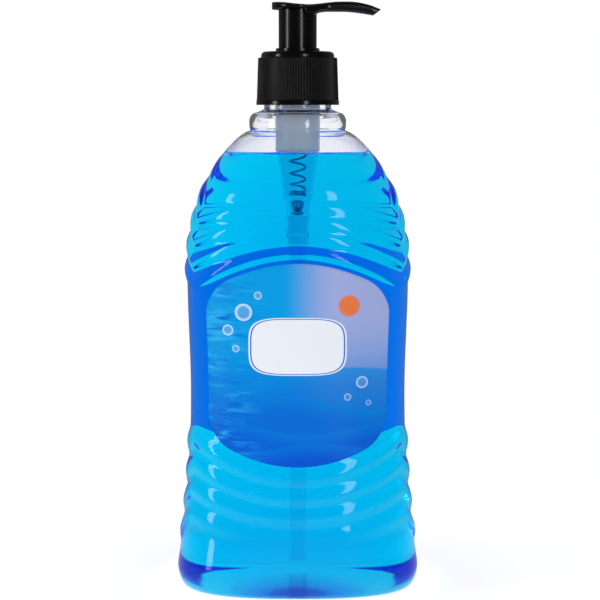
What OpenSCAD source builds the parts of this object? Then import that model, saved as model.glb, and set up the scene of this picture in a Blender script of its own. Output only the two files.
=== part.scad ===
// Liquid soap bottle with a lotion pump, in millimetres.
// Origin: centre of the base. +Z is up, +X is the way the nozzle points, -Y is the front.

/* [Bottle body] */
// Height of the blown body, from the table to the foot of the neck collar
body_h = 179; // [170:1:200]
// Half width of the foot at its widest
foot_w = 47.7; // [44:0.1:52]
// Half depth of the foot
foot_d = 34; // [31:0.1:37]
// Half width of the waist
waist_w = 42.2; // [40:0.1:46]
// Half depth of the waist
waist_d = 31.5; // [29:0.1:34]
// Half width of the chest, under the shoulder
chest_w = 43.3; // [41:0.1:47]
// Half depth of the chest
chest_d = 33; // [30:0.1:36]
// Height of the widest place of the foot
foot_z = 8.5; // [6:0.5:12]
// Height of the waist
waist_z = 78; // [68:1:86]
// Height of the shoulder, from the chest to the neck collar
shoulder_h = 57; // [50:1:62]
// How far the foot curves in at the table
foot_round = 4.2; // [2:0.1:6]
// Width of the flat ring that the bottle stands on
contact_w = 5; // [3:0.5:8]
// Height of the push-up under the base
pushup_h = 6; // [3:0.5:9]
// Squareness of the plan, where 2 is an ellipse
plan_power = 2.5; // [2.2:0.1:3]
// Wall of the blown body
wall = 0.7; // [0.5:0.1:1.2]

/* [Ribs] */
// Ribs above the label, and as many below it
rib_count = 4; // [2:1:4]
// Height of a rib's crest over its valley
rib_h = 1.1; // [0.5:0.1:1.8]
// Share of that height that is left at the middle of the front
rib_face = 0.5; // [0.3:0.05:1]
// First upper rib above the foot of the shoulder, at the middle of a side
up_side = 4; // [2:0.5:8]
// First upper rib below the foot of the shoulder, at a corner
up_corner = 2; // [0:0.5:8]
// First upper rib above the foot of the shoulder, at the middle of the front
up_front = 11.5; // [8:0.5:14]
// Pitch of the upper ribs at the side, the corner and the front
up_side_pitch = 10.2; // [8:0.1:11]
// Pitch of the upper ribs at a corner
up_corner_pitch = 8.6; // [7:0.1:10.5]
// Pitch of the upper ribs at the front
up_front_pitch = 5.8; // [5:0.1:9]
// First lower rib at the side, above the table
low_side = 57.5; // [54:0.5:60]
// First lower rib at a corner, above the table
low_corner = 60.5; // [58:0.5:68]
// First lower rib at the front, above the table
low_front = 47; // [42:0.5:49]
// Pitch of the lower ribs at the side
low_side_pitch = 11.8; // [9:0.1:12]
// Pitch of the lower ribs at a corner
low_corner_pitch = 9.7; // [8:0.1:11]
// Pitch of the lower ribs at the front
low_front_pitch = 7.5; // [5:0.1:9]

/* [Neck] */
// Height of the neck, from the foot of its collar to the rim
neck_h = 26; // [25:0.5:30]
// Radius of the collar at the foot of the neck
collar_foot_r = 18.9; // [17:0.1:21]
// Height of the straight part of that collar
collar_foot_h = 3.6; // [2:0.1:5]
// Outer radius of the neck under its thread
neck_r = 12.55; // [12.4:0.05:12.7]
// Wall of the neck
neck_wall = 1.65; // [1.4:0.05:1.8]
// Radial height of the neck's thread
thread_h = 1.2; // [0.9:0.1:1.3]
// Pitch of the thread, six turns to the inch
thread_pitch = 4.233; // [3.9:0.001:4.5]
// Turns of the thread
thread_turns = 1.5; // [1:0.25:1.75]
// Depth of the thread's upper end below the rim
thread_drop = 3; // [2.5:0.25:4]

/* [Contents and labels] */
// Height of the soap above the table
soap_z = 170; // [150:1:171]
// Half width of a label
label_w = 34; // [30:0.2:35.6]
// Thickness of a label
label_t = 0.15; // [0.1:0.05:0.3]
// Gap between a label's ends and the valley that frames them
label_gap = 1; // [0.5:0.25:3]
// Radius of a label's corners
label_corner = 8; // [4:0.5:12]

/* [Closure] */
// Height of the ribbed skirt
skirt_h = 18.2; // [17:0.1:19]
// Radius over the ribs at the skirt's foot
skirt_r = 16; // [15.8:0.1:17]
// Radius over the ribs at the skirt's top
skirt_top_r = 15.4; // [15.2:0.1:16]
// Ribs round the skirt
grip_ribs = 90; // [60:6:96]
// Depth of those ribs
grip_depth = 0.45; // [0.3:0.05:0.6]
// Thickness of the closure's ceiling
ceiling_t = 1.6; // [1.2:0.1:2]

/* [Pump] */
// Stroke of the pump
stroke = 11; // [8:0.5:12.5]
// Thickness of the gasket
gasket_t = 1; // [0.8:0.1:1.5]
// Thickness of the housing's flange
flange_t = 1; // [0.8:0.1:1.5]
// Thickness of the collar's flange
guide_flange_t = 1.2; // [0.8:0.1:1.5]
// Outer radius of the flanges under the ceiling
flange_r = 12.7; // [12:0.1:12.9]
// Bore of the housing's chamber
bore_r = 7.8; // [7.6:0.05:7.9]
// Outer radius of the housing
housing_r = 8.75; // [8.7:0.05:9.2]
// Room left under the seal at the end of the stroke
chamber_spare = 3.85; // [2:0.05:5]
// Depth of the spring's seat below the rim
spring_seat = 52.5; // [50:0.5:56]
// Depth of the housing's lower end below the rim
housing_end = 69; // [67:0.5:74]
// Bore that holds the dip tube
tube_socket_r = 3.3; // [3:0.05:3.4]
// Wall of the dip tube
tube_wall = 0.75; // [0.5:0.05:1]
// Gap between the dip tube's end and the floor of the bottle
tube_foot = 3; // [2:0.5:8]
// Height of the collar above the closure
guide_top = 1.6; // [1:0.1:3]
// Room left under the head's skirt at the end of the stroke
cup_spare = 4; // [3:0.5:5]
// Outer radius of the stem
stem_r = 3.6; // [3.2:0.1:3.8]
// Wall of the stem
stem_wall = 1.4; // [1:0.1:1.6]
// Radius of the spring, at the middle of its wire
spring_r = 2.7; // [2.5:0.05:2.9]
// Thickness of the spring's wire
wire_d = 0.8; // [0.6:0.05:0.9]
// Turns of the spring
spring_turns = 9; // [7:1:11]
// Radius of the check ball
ball_r = 2.38; // [2.2:0.02:2.5]
// Lift of the check ball
ball_lift = 1.5; // [1:0.1:1.6]

/* [Pump head] */
// Radius of the head's skirt
head_r = 7.4; // [7:0.1:7.5]
// Wall of the head's skirt
head_wall = 1; // [0.8:0.1:1.2]
// How deep the skirt's foot stands in the collar's ring at rest
skirt_lap = 1.9; // [1:0.1:3]
// Height of the finger rest above the collar's ring at the end of the stroke
head_crown = 6.5; // [6.4:0.1:9]
// Radius of the finger rest
rest_r = 10; // [9:0.1:12]
// Reach of the nozzle's tip from the axis
nozzle_reach = 32.3; // [28:0.1:40]
// Half width of the nozzle's tip
nozzle_tip_w = 3.2; // [2.8:0.1:4]
// Half width of the nozzle's root
nozzle_root_w = 5; // [4.4:0.1:6]
// Thickness of the nozzle
nozzle_t = 3.6; // [3.2:0.1:4.5]
// Radius of the channel in the nozzle
channel_r = 1.1; // [0.8:0.1:1.2]

/* [Fits] */
// Gap between faces that rest on each other, and round the contents
seat_gap = 0.05; // [0.02:0.01:0.1]
// Radial gap of a sliding or turning fit
slide_gap = 0.15; // [0.1:0.01:0.2]

/* [Hidden] */
$fn = 96;

// Angles of the wall's columns: a quarter runs from a side's middle, over a corner, to a face's middle.
corner_angle = 25;
side_steps = 4;
face_steps = 9;
quarter = concat(
    [for (i = [0:side_steps - 1]) corner_angle * i / side_steps],
    [for (i = [0:face_steps - 1]) corner_angle + (90 - corner_angle) * i / face_steps]);
columns = concat(
    quarter,
    [90],
    [for (i = [len(quarter) - 1:-1:1]) 180 - quarter[i]],
    [for (a = quarter) 180 + a],
    [270],
    [for (i = [len(quarter) - 1:-1:1]) 360 - quarter[i]]);

// Shape of the body, as half width, half depth and squareness at a height
chest_z = body_h - shoulder_h;
foot_power = 2.1;
shoulder_power = 2.2;
shoulder_root = 1.35;
shoulder_blend = 2;
collar_step = 0.15;
function mix(a, b, t) = a + (b - a) * t;
function smooth(t) = t * t * (3 - 2 * t);
function share(z, z0, z1) = min(1, max(0, (z - z0) / (z1 - z0)));
function shoulder_share(z) = pow(1 - pow(share(z, chest_z, body_h), shoulder_power), 1 / shoulder_root);
function foot_inset(z) = z < foot_z ? foot_round * (1 - sqrt(1 - pow(1 - z / foot_z, 2))) : 0;
function half(z, foot, waist, chest) =
    z < waist_z ? mix(waist, foot, pow(1 - share(z, foot_z, waist_z), foot_power)) - foot_inset(z)
    : z < chest_z ? mix(waist, chest, smooth(share(z, waist_z, chest_z)))
    : mix(collar_foot_r + collar_step, chest, shoulder_share(z));
function power_at(z) = mix(plan_power, 2, pow(share(z, chest_z, body_h), shoulder_blend));

// A point of the wall at a column's angle and a height, moved out by grow
function arm(v, p) = sign(v) * pow(abs(v), 2 / p);
function wall_point(a, z, grow) = [
    (half(z, foot_w, waist_w, chest_w) + grow) * arm(cos(a), power_at(z)),
    (half(z, foot_d, waist_d, chest_d) + grow) * arm(sin(a), power_at(z)),
    z];

// Height of a rib's line at an angle: an arch on each face, and the arches meet at the corners
function fold(a) = let (b = a % 180) b > 90 ? 180 - b : b;
function on_side(a) = fold(a) <= corner_angle;
function across(a) = on_side(a)
    ? arm(sin(fold(a)), plan_power) / arm(sin(corner_angle), plan_power)
    : arm(cos(fold(a)), plan_power) / arm(cos(corner_angle), plan_power);
function arch(a, side, corner, front) = mix(on_side(a) ? side : front, corner, pow(across(a), 2));
function upper_line(a, k) = arch(a,
    chest_z + up_side + k * up_side_pitch,
    chest_z - up_corner + k * up_corner_pitch,
    chest_z + up_front + k * up_front_pitch);
function lower_line(a, k) = arch(a,
    low_side - k * low_side_pitch,
    low_corner - k * low_corner_pitch,
    low_front - k * low_front_pitch);
// Height of the rib's surface over its valley, for its place k, with sharp valleys and round crests.
// It falls off towards the middle of a face, and the last lower rib is there on the sides only
outer_rib = 0.35;
function face_share(a, middle, power) = on_side(a) ? 1 : mix(middle, 1, pow(across(a), power));
function crest(k) = rib_h * abs(cos(180 * k)) * (k > last_rib ? outer_rib : 1);
function rib_rise(a, k) = crest(k) * face_share(a, rib_face, 2);
function low_rise(a, k) = rib_rise(a, k) * (k > last_rib - 1 ? face_share(a, 0, 4) : 1);

// Rings of the wall from the table up. Inner rings take every second place and lie one wall further in
last_rib = rib_count - 0.5;
label_rows = 4;
function lower_rings(step, grow) =
    [for (k = [last_rib:-step:-0.5]) [for (a = columns)
        wall_point(a, lower_line(a, k), low_rise(a, k) + grow)]];
function panel_rings(n, grow) =
    [for (i = [1:n - 1]) [for (a = columns)
        wall_point(a, mix(lower_line(a, -0.5), upper_line(a, -0.5), i / n), grow)]];
function upper_rings(step, grow) =
    [for (k = [-0.5:step:last_rib + 1]) [for (a = columns)
        wall_point(a, upper_line(a, k), rib_rise(a, k) + grow)]];
function shoulder_rings(grow, drop, shares) =
    [for (t = shares) [for (a = columns) let (
        low = upper_line(a, last_rib + 1),
        p = wall_point(a, mix(low, body_h, t), grow))
        [p[0], p[1], p[2] - drop * t]]];
function foot_rings(heights, grow) =
    [for (z = heights) [for (a = columns) wall_point(a, z, grow)]];
function base_ring(inset, z) =
    [for (a = columns) let (p = wall_point(a, 0, -inset)) [p[0], p[1], z]];

// Top of the wall: its last rings lie inside the neck's collar
collar_wall = 1.3;
lap = 0.6;
function round_ring(r, z) = [for (a = columns) [r * arm(cos(a), 2), r * arm(sin(a), 2), z]];
top_shares = [0.3, 0.6, 0.82, 0.94, 1];
outer_rings = concat(
    [base_ring(contact_w, 0)],
    foot_rings([0, foot_z * 0.12, foot_z * 0.4, foot_z], 0),
    lower_rings(0.25, 0),
    panel_rings(label_rows + 1, 0),
    upper_rings(0.25, 0),
    shoulder_rings(0, 0, top_shares),
    [round_ring(collar_foot_r - lap, body_h + 0.15)]);
inner_rings = concat(
    [round_ring(collar_foot_r - lap, body_h - collar_wall)],
    reverse(shoulder_rings(-wall - 0.2, collar_wall - 0.1, [0.3, 0.6, 0.82, 0.94])),
    reverse(upper_rings(0.5, -wall)),
    reverse(panel_rings(label_rows, -wall)),
    reverse(lower_rings(0.5, -wall)),
    [foot_rings([foot_z], -wall)[0], foot_rings([foot_z * 0.4], -wall)[0]],
    [base_ring(foot_round * 0.4 + wall, wall + 0.3), base_ring(contact_w + foot_round * 0.3, wall)]);

function reverse(v) = [for (i = [len(v) - 1:-1:0]) v[i]];
function flat(v) = [for (row = v) each row];

// A closed skin over rings with a pole at each end
module ring_skin(rings, first_pole, last_pole) {
    n = len(rings[0]);
    m = len(rings);
    points = concat(flat(rings), [first_pole, last_pole]);
    sides = [for (i = [0:m - 2], j = [0:n - 1]) let (k = (j + 1) % n) each [
        [i * n + j, (i + 1) * n + k, i * n + k],
        [i * n + j, (i + 1) * n + j, (i + 1) * n + k]]];
    ends = [for (j = [0:n - 1]) let (k = (j + 1) % n) each [
        [m * n, j, k],
        [m * n + 1, (m - 1) * n + k, (m - 1) * n + j]]];
    polyhedron(points, concat(sides, ends), convexity = 8);
}

// A thin sheet between two grids of points
module sheet_skin(under, over) {
    m = len(under);
    n = len(under[0]);
    points = concat(flat(under), flat(over));
    s = m * n;
    faces = [for (i = [0:m - 2], j = [0:n - 2]) let (
        a = i * n + j,
        b = a + 1,
        c = a + n,
        d = c + 1) each [[a, b, d], [a, d, c], [s + a, s + d, s + b], [s + a, s + c, s + d]]];
    ends = [for (j = [0:n - 2]) let (a = j, b = j + 1, c = (m - 1) * n + j, d = c + 1) each [
        [a, s + b, b], [a, s + a, s + b], [c, d, s + d], [c, s + d, s + c]]];
    edges = [for (i = [0:m - 2]) let (a = i * n, b = a + n, c = a + n - 1, d = c + n) each [
        [a, b, s + b], [a, s + b, s + a], [c, s + d, d], [c, s + c, s + d]]];
    polyhedron(points, concat(faces, ends, edges), convexity = 4);
}

// A helical ridge. root and crest are its radii, wide and narrow its widths there
thread_steps = 24;
thread_start = 37;
thread_sink = 0.5;
module ridge(root, crest, wide, narrow, top_z, turns) {
    n = ceil(thread_steps * turns);
    function fade(i) = min(1, i / 3, (n - i) / 3) * 0.85 + 0.15;
    sink = crest > root ? -thread_sink : thread_sink;
    points = [for (i = [0:n]) let (
        a = thread_start + 360 * turns * i / n,
        z = top_z - thread_pitch * turns * (1 - i / n),
        f = fade(i),
        c = mix(root, crest, f)) each [for (q = [
            [root + sink, -wide / 2], [c, -mix(wide, narrow, f) / 2],
            [c, mix(wide, narrow, f) / 2], [root + sink, wide / 2]])
            [q[0] * cos(a), q[0] * sin(a), z + q[1]]]];
    sides = [for (i = [0:n - 1], j = [0:3]) let (
        a = 4 * i + j,
        b = 4 * i + (j + 1) % 4) each [[a, b + 4, b], [a, a + 4, b + 4]]];
    ends = [[0, 1, 2], [0, 2, 3], [4 * n, 4 * n + 2, 4 * n + 1], [4 * n, 4 * n + 3, 4 * n + 2]];
    flip = crest > root;
    faces = concat(sides, ends);
    polyhedron(points, [for (f = faces) flip ? [f[0], f[2], f[1]] : f], convexity = 6);
}

// Stack on the rim
rim_z = body_h + neck_h;
bore_neck_r = neck_r - neck_wall;
thread_top = rim_z - thread_drop;
gasket_z = rim_z + gasket_t;
flange_z = gasket_z + flange_t;
guide_z = flange_z + guide_flange_t;
ceiling_z = guide_z + ceiling_t;
closure_z = guide_z - skirt_h - 1;

// Pump, from its head down
ring_top = ceiling_z + guide_top;
head_z = ring_top - skirt_lap;
head_top = ring_top + stroke + head_crown;
seat_z = rim_z - spring_seat;
end_z = rim_z - housing_end;
cup_r = bore_r + 0.4;
cup_wall = 0.5;
cup_z = head_z - stroke - cup_spare;
guide_floor = 1.2;
guide_h = 4;
stem_bore_r = stem_r - stem_wall;
stop_flange_r = stem_r + 1;
stop_flange_t = 1.4;
stop_z = cup_z - guide_floor - seat_gap;
seal_h = 5;
seal_z = stop_z - stop_flange_t - seal_h;
shoulder_z = seal_z - stroke - chamber_spare;
core_r = spring_r + wire_d / 2 + 1.4;
core_t = 1.5;
core_z = seal_z - core_t - seat_gap;
ball_cage_r = ball_r + 0.42;
inlet_r = 1.4;
lip_t = 1.5;
ball_seat_z = seat_z - lip_t - 0.1 - ball_lift - ball_r * (1 + sqrt(2)) - seat_gap + inlet_r;
ball_z = seat_z - lip_t - 0.1 - ball_lift - ball_r;
tube_top = ball_seat_z - 1.1;
tube_r = tube_socket_r - seat_gap;
floor_z = pushup_h + wall;
tube_z = floor_z + tube_foot;

module bottle() {
    color("#9ad8f5", 0.5) union() {
        ring_skin(concat(outer_rings, inner_rings), [0, 0, pushup_h], [0, 0, pushup_h + wall]);
        neck();
        ridge(neck_r, neck_r + thread_h, 2.1, 1, thread_top, thread_turns);
    }
}

// Neck with the round collar at its foot, turned so that its seam lies between two columns of the wall
neck_low_r = neck_r + 0.5;
seam_turn = 2.5;
rim_ease = 0.4;
module neck() {
    foot = body_h - 0.6;
    straight = body_h + collar_foot_h;
    rise = 3.4;
    round_w = 2.6;
    slope = 1.4;
    inner_foot = collar_foot_r - collar_wall;
    rotate([0, 0, seam_turn]) rotate_extrude() polygon(concat(
        [[inner_foot, foot], [collar_foot_r, foot]],
        [for (a = [0:15:90]) [collar_foot_r - round_w * (1 - cos(a)), straight + rise * sin(a)]],
        [[neck_low_r, straight + rise + slope], [neck_low_r, closure_z + 3], [neck_r, closure_z + 3.5],
            [neck_r, rim_z - rim_ease], [neck_r - rim_ease, rim_z], [bore_neck_r + rim_ease, rim_z],
            [bore_neck_r, rim_z - rim_ease], [bore_neck_r, straight + rise + slope],
            [inner_foot, straight - 1.2]]));
}

// Soap: the inner wall's shape, some way further in, round the pump and its tube
soap_gap = 0.1;
soap_clear = 0.5;
soap_steps = 6;
function soap_inset(z) = wall + soap_clear + collar_wall * share(z, chest_z, body_h);
function soap_ring(z) = [for (a = columns) wall_point(a, z, -soap_inset(z))];
module liquid_soap() {
    heights = concat([foot_z * 0.4],
        [for (i = [0:soap_steps - 1]) mix(foot_z, waist_z, i / soap_steps)],
        [waist_z, mix(waist_z, chest_z, 0.5)],
        [for (i = [0:soap_steps]) mix(chest_z, soap_z, i / soap_steps)]);
    color("#00aee8") difference() {
        ring_skin(concat([base_ring(contact_w + foot_round * 0.3 + 1, wall + soap_gap + 0.2)],
            [for (z = heights) soap_ring(z)]), [0, 0, pushup_h + wall + soap_gap], [0, 0, soap_z]);
        rotate_extrude() polygon([[0, tube_z - soap_gap], [tube_r + soap_gap, tube_z - soap_gap],
            [tube_r + soap_gap, end_z - soap_gap], [housing_foot_r + soap_gap, end_z - soap_gap],
            [housing_foot_r + soap_gap, seat_z - 3 - soap_gap],
            [housing_cone_r + soap_gap, seat_z - 3 - soap_gap], [housing_cone_r + soap_gap, seat_z],
            [housing_step_r + soap_gap, shoulder_z - 4], [housing_r + soap_gap, shoulder_z - soap_gap],
            [housing_r + soap_gap, soap_z + 9], [0, soap_z + 9]]);
    }
}

// A label on a face of the body, with arched ends and round corners. turn is 0 at the front
label_columns = [for (a = columns) if (a > 180 + corner_angle && a < 360 - corner_angle
    && abs(wall_point(a, waist_z, 0)[0]) < label_w) a];
label_edge = acos(pow(label_w / waist_w, plan_power / 2));
label_angles = concat([180 + label_edge], label_columns, [360 - label_edge]);
label_v = 6;
function label_cut(a) = let (
    x = abs(wall_point(a, waist_z, 0)[0]),
    over = max(0, x - (label_w - label_corner)))
    label_corner - sqrt(max(0, pow(label_corner, 2) - pow(min(over, label_corner * 0.985), 2)));
function label_low(a) = lower_line(a, -0.5) + label_gap + label_cut(a);
function label_high(a) = upper_line(a, -0.5) - label_gap - label_cut(a);
function label_grid(grow) = [for (i = [0:label_v]) [for (a = label_angles)
    wall_point(a, mix(label_low(a), label_high(a), i / label_v), grow)]];
// Room between a label and the flat facets of the wall
label_lift = 0.25;
module label(turn) {
    rotate([0, 0, turn]) sheet_skin(label_grid(label_lift), label_grid(label_lift + label_t));
}
module front_label() {
    color("#1f6fe0") label(0);
}
module back_label() {
    color("#1f6fe0") label(180);
}

// Closure: ribbed skirt, round shoulder, ceiling and inner thread
thread_gap = 0.3;
closure_bore = neck_r + thread_h + thread_gap;
band_h = 1.6;
band_out = 0.15;
shoulder_drop = 2.6;
module closure() {
    top_bore = flange_r + 0.3;
    hole = cup_r + 0.6;
    inner_crest = neck_r + 0.45;
    rib_top = ceiling_z - shoulder_drop;
    step_r = skirt_top_r - 1.1;
    color("#17181a") union() {
        difference() {
            union() {
                rotate_extrude() polygon(concat(
                    [[0, closure_z], [skirt_r + band_out, closure_z], [skirt_r + band_out, closure_z + band_h],
                        [skirt_top_r - grip_depth, closure_z + band_h], [skirt_top_r - grip_depth, rib_top],
                        [step_r, rib_top]],
                    [for (a = [0:15:75]) [step_r - 1.8 * (1 - cos(a)), rib_top + 0.4 + 1.5 * sin(a)]],
                    [[cup_r, ceiling_z], [0, ceiling_z]]));
                translate([0, 0, closure_z + band_h - 0.2]) grip(rib_top - closure_z - band_h + 0.2);
            }
            rotate_extrude() polygon([[0, closure_z - 1], [closure_bore + 0.4, closure_z - 1],
                [closure_bore + 0.4, closure_z], [closure_bore, closure_z + 0.6], [closure_bore, rim_z - 2.2],
                [top_bore, rim_z - 1], [top_bore, guide_z], [hole, guide_z], [hole, ceiling_z + 1],
                [0, ceiling_z + 1]]);
        }
        ridge(closure_bore, inner_crest, 1.9, 0.9, thread_top - thread_pitch / 2, thread_turns);
    }
}

// Ribbed band of the grip, narrower at its top
module grip(h) {
    n = grip_ribs;
    foot = skirt_r - 0.05;
    linear_extrude(height = h, scale = skirt_top_r / foot) polygon([for (i = [0:n - 1], q = [0:2]) let (
        r = q == 0 ? foot - grip_depth : foot,
        a = 360 / n * (i + [0, 0.3, 0.7][q])) [r * cos(a), r * sin(a)]]);
}

module gasket() {
    color("#e8e8e4") rotate_extrude() polygon([[bore_neck_r + 0.2, rim_z], [neck_r, rim_z],
        [neck_r, gasket_z], [bore_neck_r + 0.2, gasket_z]]);
}

// Collar: flange under the ceiling, ring through the closure, and a cup with a guide for the stem
module collar() {
    color("#17181a") rotate_extrude() polygon([[stem_r + slide_gap, cup_z - guide_floor],
        [cup_r - seat_gap, cup_z - guide_floor], [cup_r - seat_gap, flange_z], [flange_r, flange_z],
        [flange_r, guide_z], [cup_r + 0.3, guide_z], [cup_r + 0.3, ring_top - 0.4], [cup_r, ring_top],
        [cup_r - cup_wall, ring_top], [cup_r - cup_wall, cup_z], [stem_r + 1, cup_z],
        [stem_r + 1, cup_z + guide_h], [stem_r + slide_gap, cup_z + guide_h]]);
}

// Housing: flange, cup seat, chamber, cone, ball cage and tube socket
housing_foot_r = tube_socket_r + 0.9;
housing_cone_r = housing_foot_r + 1;
housing_step_r = housing_r - 1.9;
module pump_housing() {
    color("#dfe6ea", 0.8) rotate_extrude() polygon([
        [inlet_r, ball_seat_z], [ball_cage_r, ball_seat_z + ball_cage_r - inlet_r],
        [ball_cage_r, seat_z - lip_t], [2, seat_z - lip_t], [2, seat_z], [housing_cone_r - 1, seat_z],
        [housing_step_r - 0.9, shoulder_z - 4.2], [bore_r, shoulder_z - 0.6], [bore_r, cup_z - guide_floor - 1],
        [cup_r, cup_z - guide_floor - 0.5], [cup_r, flange_z], [flange_r, flange_z], [flange_r, gasket_z],
        [housing_r, gasket_z], [housing_r, shoulder_z], [housing_step_r, shoulder_z - 4],
        [housing_cone_r, seat_z], [housing_cone_r, seat_z - 3], [housing_foot_r, seat_z - 3],
        [housing_foot_r, end_z], [tube_socket_r, end_z], [tube_socket_r, tube_top], [inlet_r, tube_top]]);
}

module dip_tube() {
    color("#e6eef2", 0.8) rotate_extrude() polygon([[tube_r - tube_wall, tube_z], [tube_r, tube_z],
        [tube_r, tube_top - seat_gap], [tube_r - tube_wall, tube_top - seat_gap]]);
}

// Return spring, with a closed turn at each end
spring_sides = 5;
spring_steps = 12;
module return_spring() {
    n = spring_steps * spring_turns;
    low = seat_z + wire_d / 2 + seat_gap;
    high = core_z - wire_d / 2 - seat_gap;
    closed = wire_d + 0.05;
    pitch = (high - low - 2 * closed) / (spring_turns - 2);
    function height(t) = t < 1 ? low + closed * t
        : t > spring_turns - 1 ? high - closed * (spring_turns - t)
        : low + closed + pitch * (t - 1);
    rings = [for (i = [0:n]) let (
        t = i / spring_steps,
        a = 360 * t,
        z = height(t)) [for (j = [0:spring_sides - 1]) let (
            b = -360 * j / spring_sides,
            r = spring_r + wire_d / 2 * cos(b))
            [r * cos(a), r * sin(a), z + wire_d / 2 * sin(b)]]];
    color("#c9ccd0") ring_skin(rings, [spring_r, 0, low], [spring_r * cos(360 * spring_turns),
        spring_r * sin(360 * spring_turns), high]);
}

module check_ball() {
    color("#c9ccd0") translate([0, 0, ball_z]) sphere(r = ball_r);
}

// Sliding seal with a lip at each end
module piston_seal() {
    r = bore_r - seat_gap;
    hub = stem_r + 1.4;
    color("#f0f2f0") rotate_extrude() polygon([[stem_r + slide_gap, seal_z], [hub, seal_z], [hub, seal_z + 1.8],
        [r - 0.8, seal_z + 1.6], [r - 0.5, seal_z], [r, seal_z], [r - 0.15, seal_z + 1.2],
        [r - 0.15, seal_z + seal_h - 1.2], [r, seal_z + seal_h], [r - 0.5, seal_z + seal_h],
        [r - 0.8, seal_z + 3.4], [hub, seal_z + 3.2], [hub, seal_z + seal_h],
        [stem_r + slide_gap, seal_z + seal_h]]);
}

// Stem with the flange that stops it under the collar
socket_depth = 8;
socket_top = head_top - 7;
module piston_stem() {
    flange_foot = stop_z - stop_flange_t;
    color("#f0f2f0") rotate_extrude() polygon([[stem_bore_r, seal_z], [stem_r, seal_z], [stem_r, flange_foot],
        [stop_flange_r, flange_foot], [stop_flange_r, stop_z], [stem_r, stop_z], [stem_r, socket_top - 0.1],
        [stem_bore_r, socket_top - 0.1]]);
}

// Plug at the stem's foot, with flutes that let the soap pass
module piston_core() {
    shank = stem_bore_r - seat_gap;
    pilot_r = spring_r - wire_d / 2 - 0.15;
    color("#f0f2f0") difference() {
        rotate_extrude() polygon([[0, core_z - 2.5], [1.4, core_z - 2.5], [pilot_r, core_z - 1.5],
            [pilot_r, core_z], [core_r, core_z], [core_r, core_z + core_t - 0.5],
            [core_r - 0.5, core_z + core_t], [shank, core_z + core_t], [shank, core_z + core_t + 5],
            [shank - 0.4, core_z + core_t + 5.5], [0, core_z + core_t + 5.5]]);
        for (a = [0, 90, 180, 270]) rotate([0, 0, a])
            translate([shank - 0.7, -0.5, core_z + core_t + 0.4]) cube([2, 1, 6]);
    }
}

// Pump head: a crowned finger rest that runs out into the nozzle, on a skirt with a socket for the stem
head_stations = 16;
head_sides = 20;
function along(t) = mix(-rest_r, nozzle_reach, t);
function head_half_w(x) = x < 0 ? sqrt(max(0.04, pow(rest_r, 2) - x * x))
    : mix(mix(rest_r, nozzle_root_w, smooth(share(x, 0, rest_r * 1.3))),
        nozzle_tip_w, share(x, rest_r, nozzle_reach));
function saddle(x) = head_top - 1.1 * pow(sin(180 * share(x, -rest_r, rest_r * 1.7)), 2)
    - 3 * pow(share(x, nozzle_reach * 0.6, nozzle_reach), 2);
function head_under(x) = x < rest_r ? head_top - nozzle_t + 0.6
    : head_top - nozzle_t - 1.7 * pow(share(x, nozzle_reach * 0.55, nozzle_reach * 0.9), 1.5)
    + 2.2 * pow(share(x, nozzle_reach * 0.9, nozzle_reach), 1);

// Way out of the soap: level under the finger rest, then down to the slanted end of the nozzle
channel_bend = 15;
mouth_r = channel_r - 0.2;
module channel() {
    level = nozzle_reach * 0.68;
    translate([0, 0, head_top - nozzle_t / 2]) {
        rotate([0, 90, 0]) cylinder(r = channel_r, h = level);
        translate([level - 1.5, 0, 0.1]) rotate([0, 90 + channel_bend, 0]) cylinder(r = mouth_r, h = nozzle_reach);
    }
}

module actuator() {
    rings = [for (i = [0:head_stations]) let (
        t = i / head_stations,
        x = along(i < 1 ? 0.002 : pow(t, 1.15)),
        top = saddle(x),
        low = head_under(x),
        w = head_half_w(x)) [for (j = [0:head_sides - 1]) let (a = 360 * (j + 0.5) / head_sides)
            [x, w * arm(cos(a), 3.2), mix(low, top, 0.5 + 0.5 * arm(sin(a), 3.2))]]];
    web = head_top - 3.2;
    socket_r = stem_r + 1.5;
    color("#0e0f11") difference() {
        union() {
            ring_skin(rings, [-rest_r, 0, (saddle(-rest_r) + head_under(-rest_r)) / 2],
                [nozzle_reach, 0, (saddle(nozzle_reach) + head_under(nozzle_reach)) / 2]);
            difference() {
                rotate_extrude() polygon([[0, head_z], [head_r, head_z], [head_r, head_top - 6.2],
                    [head_r + 0.6, head_top - 4.4], [head_r + 1.8, head_top - 2.6], [0, head_top - 2.6]]);
                translate([0, 0, head_z - 1]) cylinder(r = head_r - head_wall, h = web - head_z + 1);
            }
            translate([0, 0, socket_top - socket_depth])
                cylinder(r = socket_r, h = web - socket_top + socket_depth + 0.5);
        }
        translate([0, 0, socket_top - socket_depth - 1]) cylinder(r = stem_r + seat_gap, h = socket_depth + 1);
        translate([0, 0, socket_top - 1]) cylinder(r = stem_bore_r, h = head_top - 2 - socket_top);
        channel();
    }
}

bottle();
liquid_soap();
front_label();
back_label();
closure();
collar();
gasket();
pump_housing();
dip_tube();
return_spring();
check_ball();
piston_seal();
piston_stem();
piston_core();
actuator();
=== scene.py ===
"""A waisted clear bottle of blue liquid soap with a black lotion pump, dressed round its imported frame.

Every class holds one sub-assembly: its sizes are fields in millimetres, in the frame of the model
(origin at the base's centre, +Z up, +X the nozzle's way, -Y the front), and its methods work out
each surface as numpy grids and give it its finish.
"""

import logging
import math
from collections.abc import Callable
from dataclasses import dataclass, field
from enum import Enum

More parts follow.
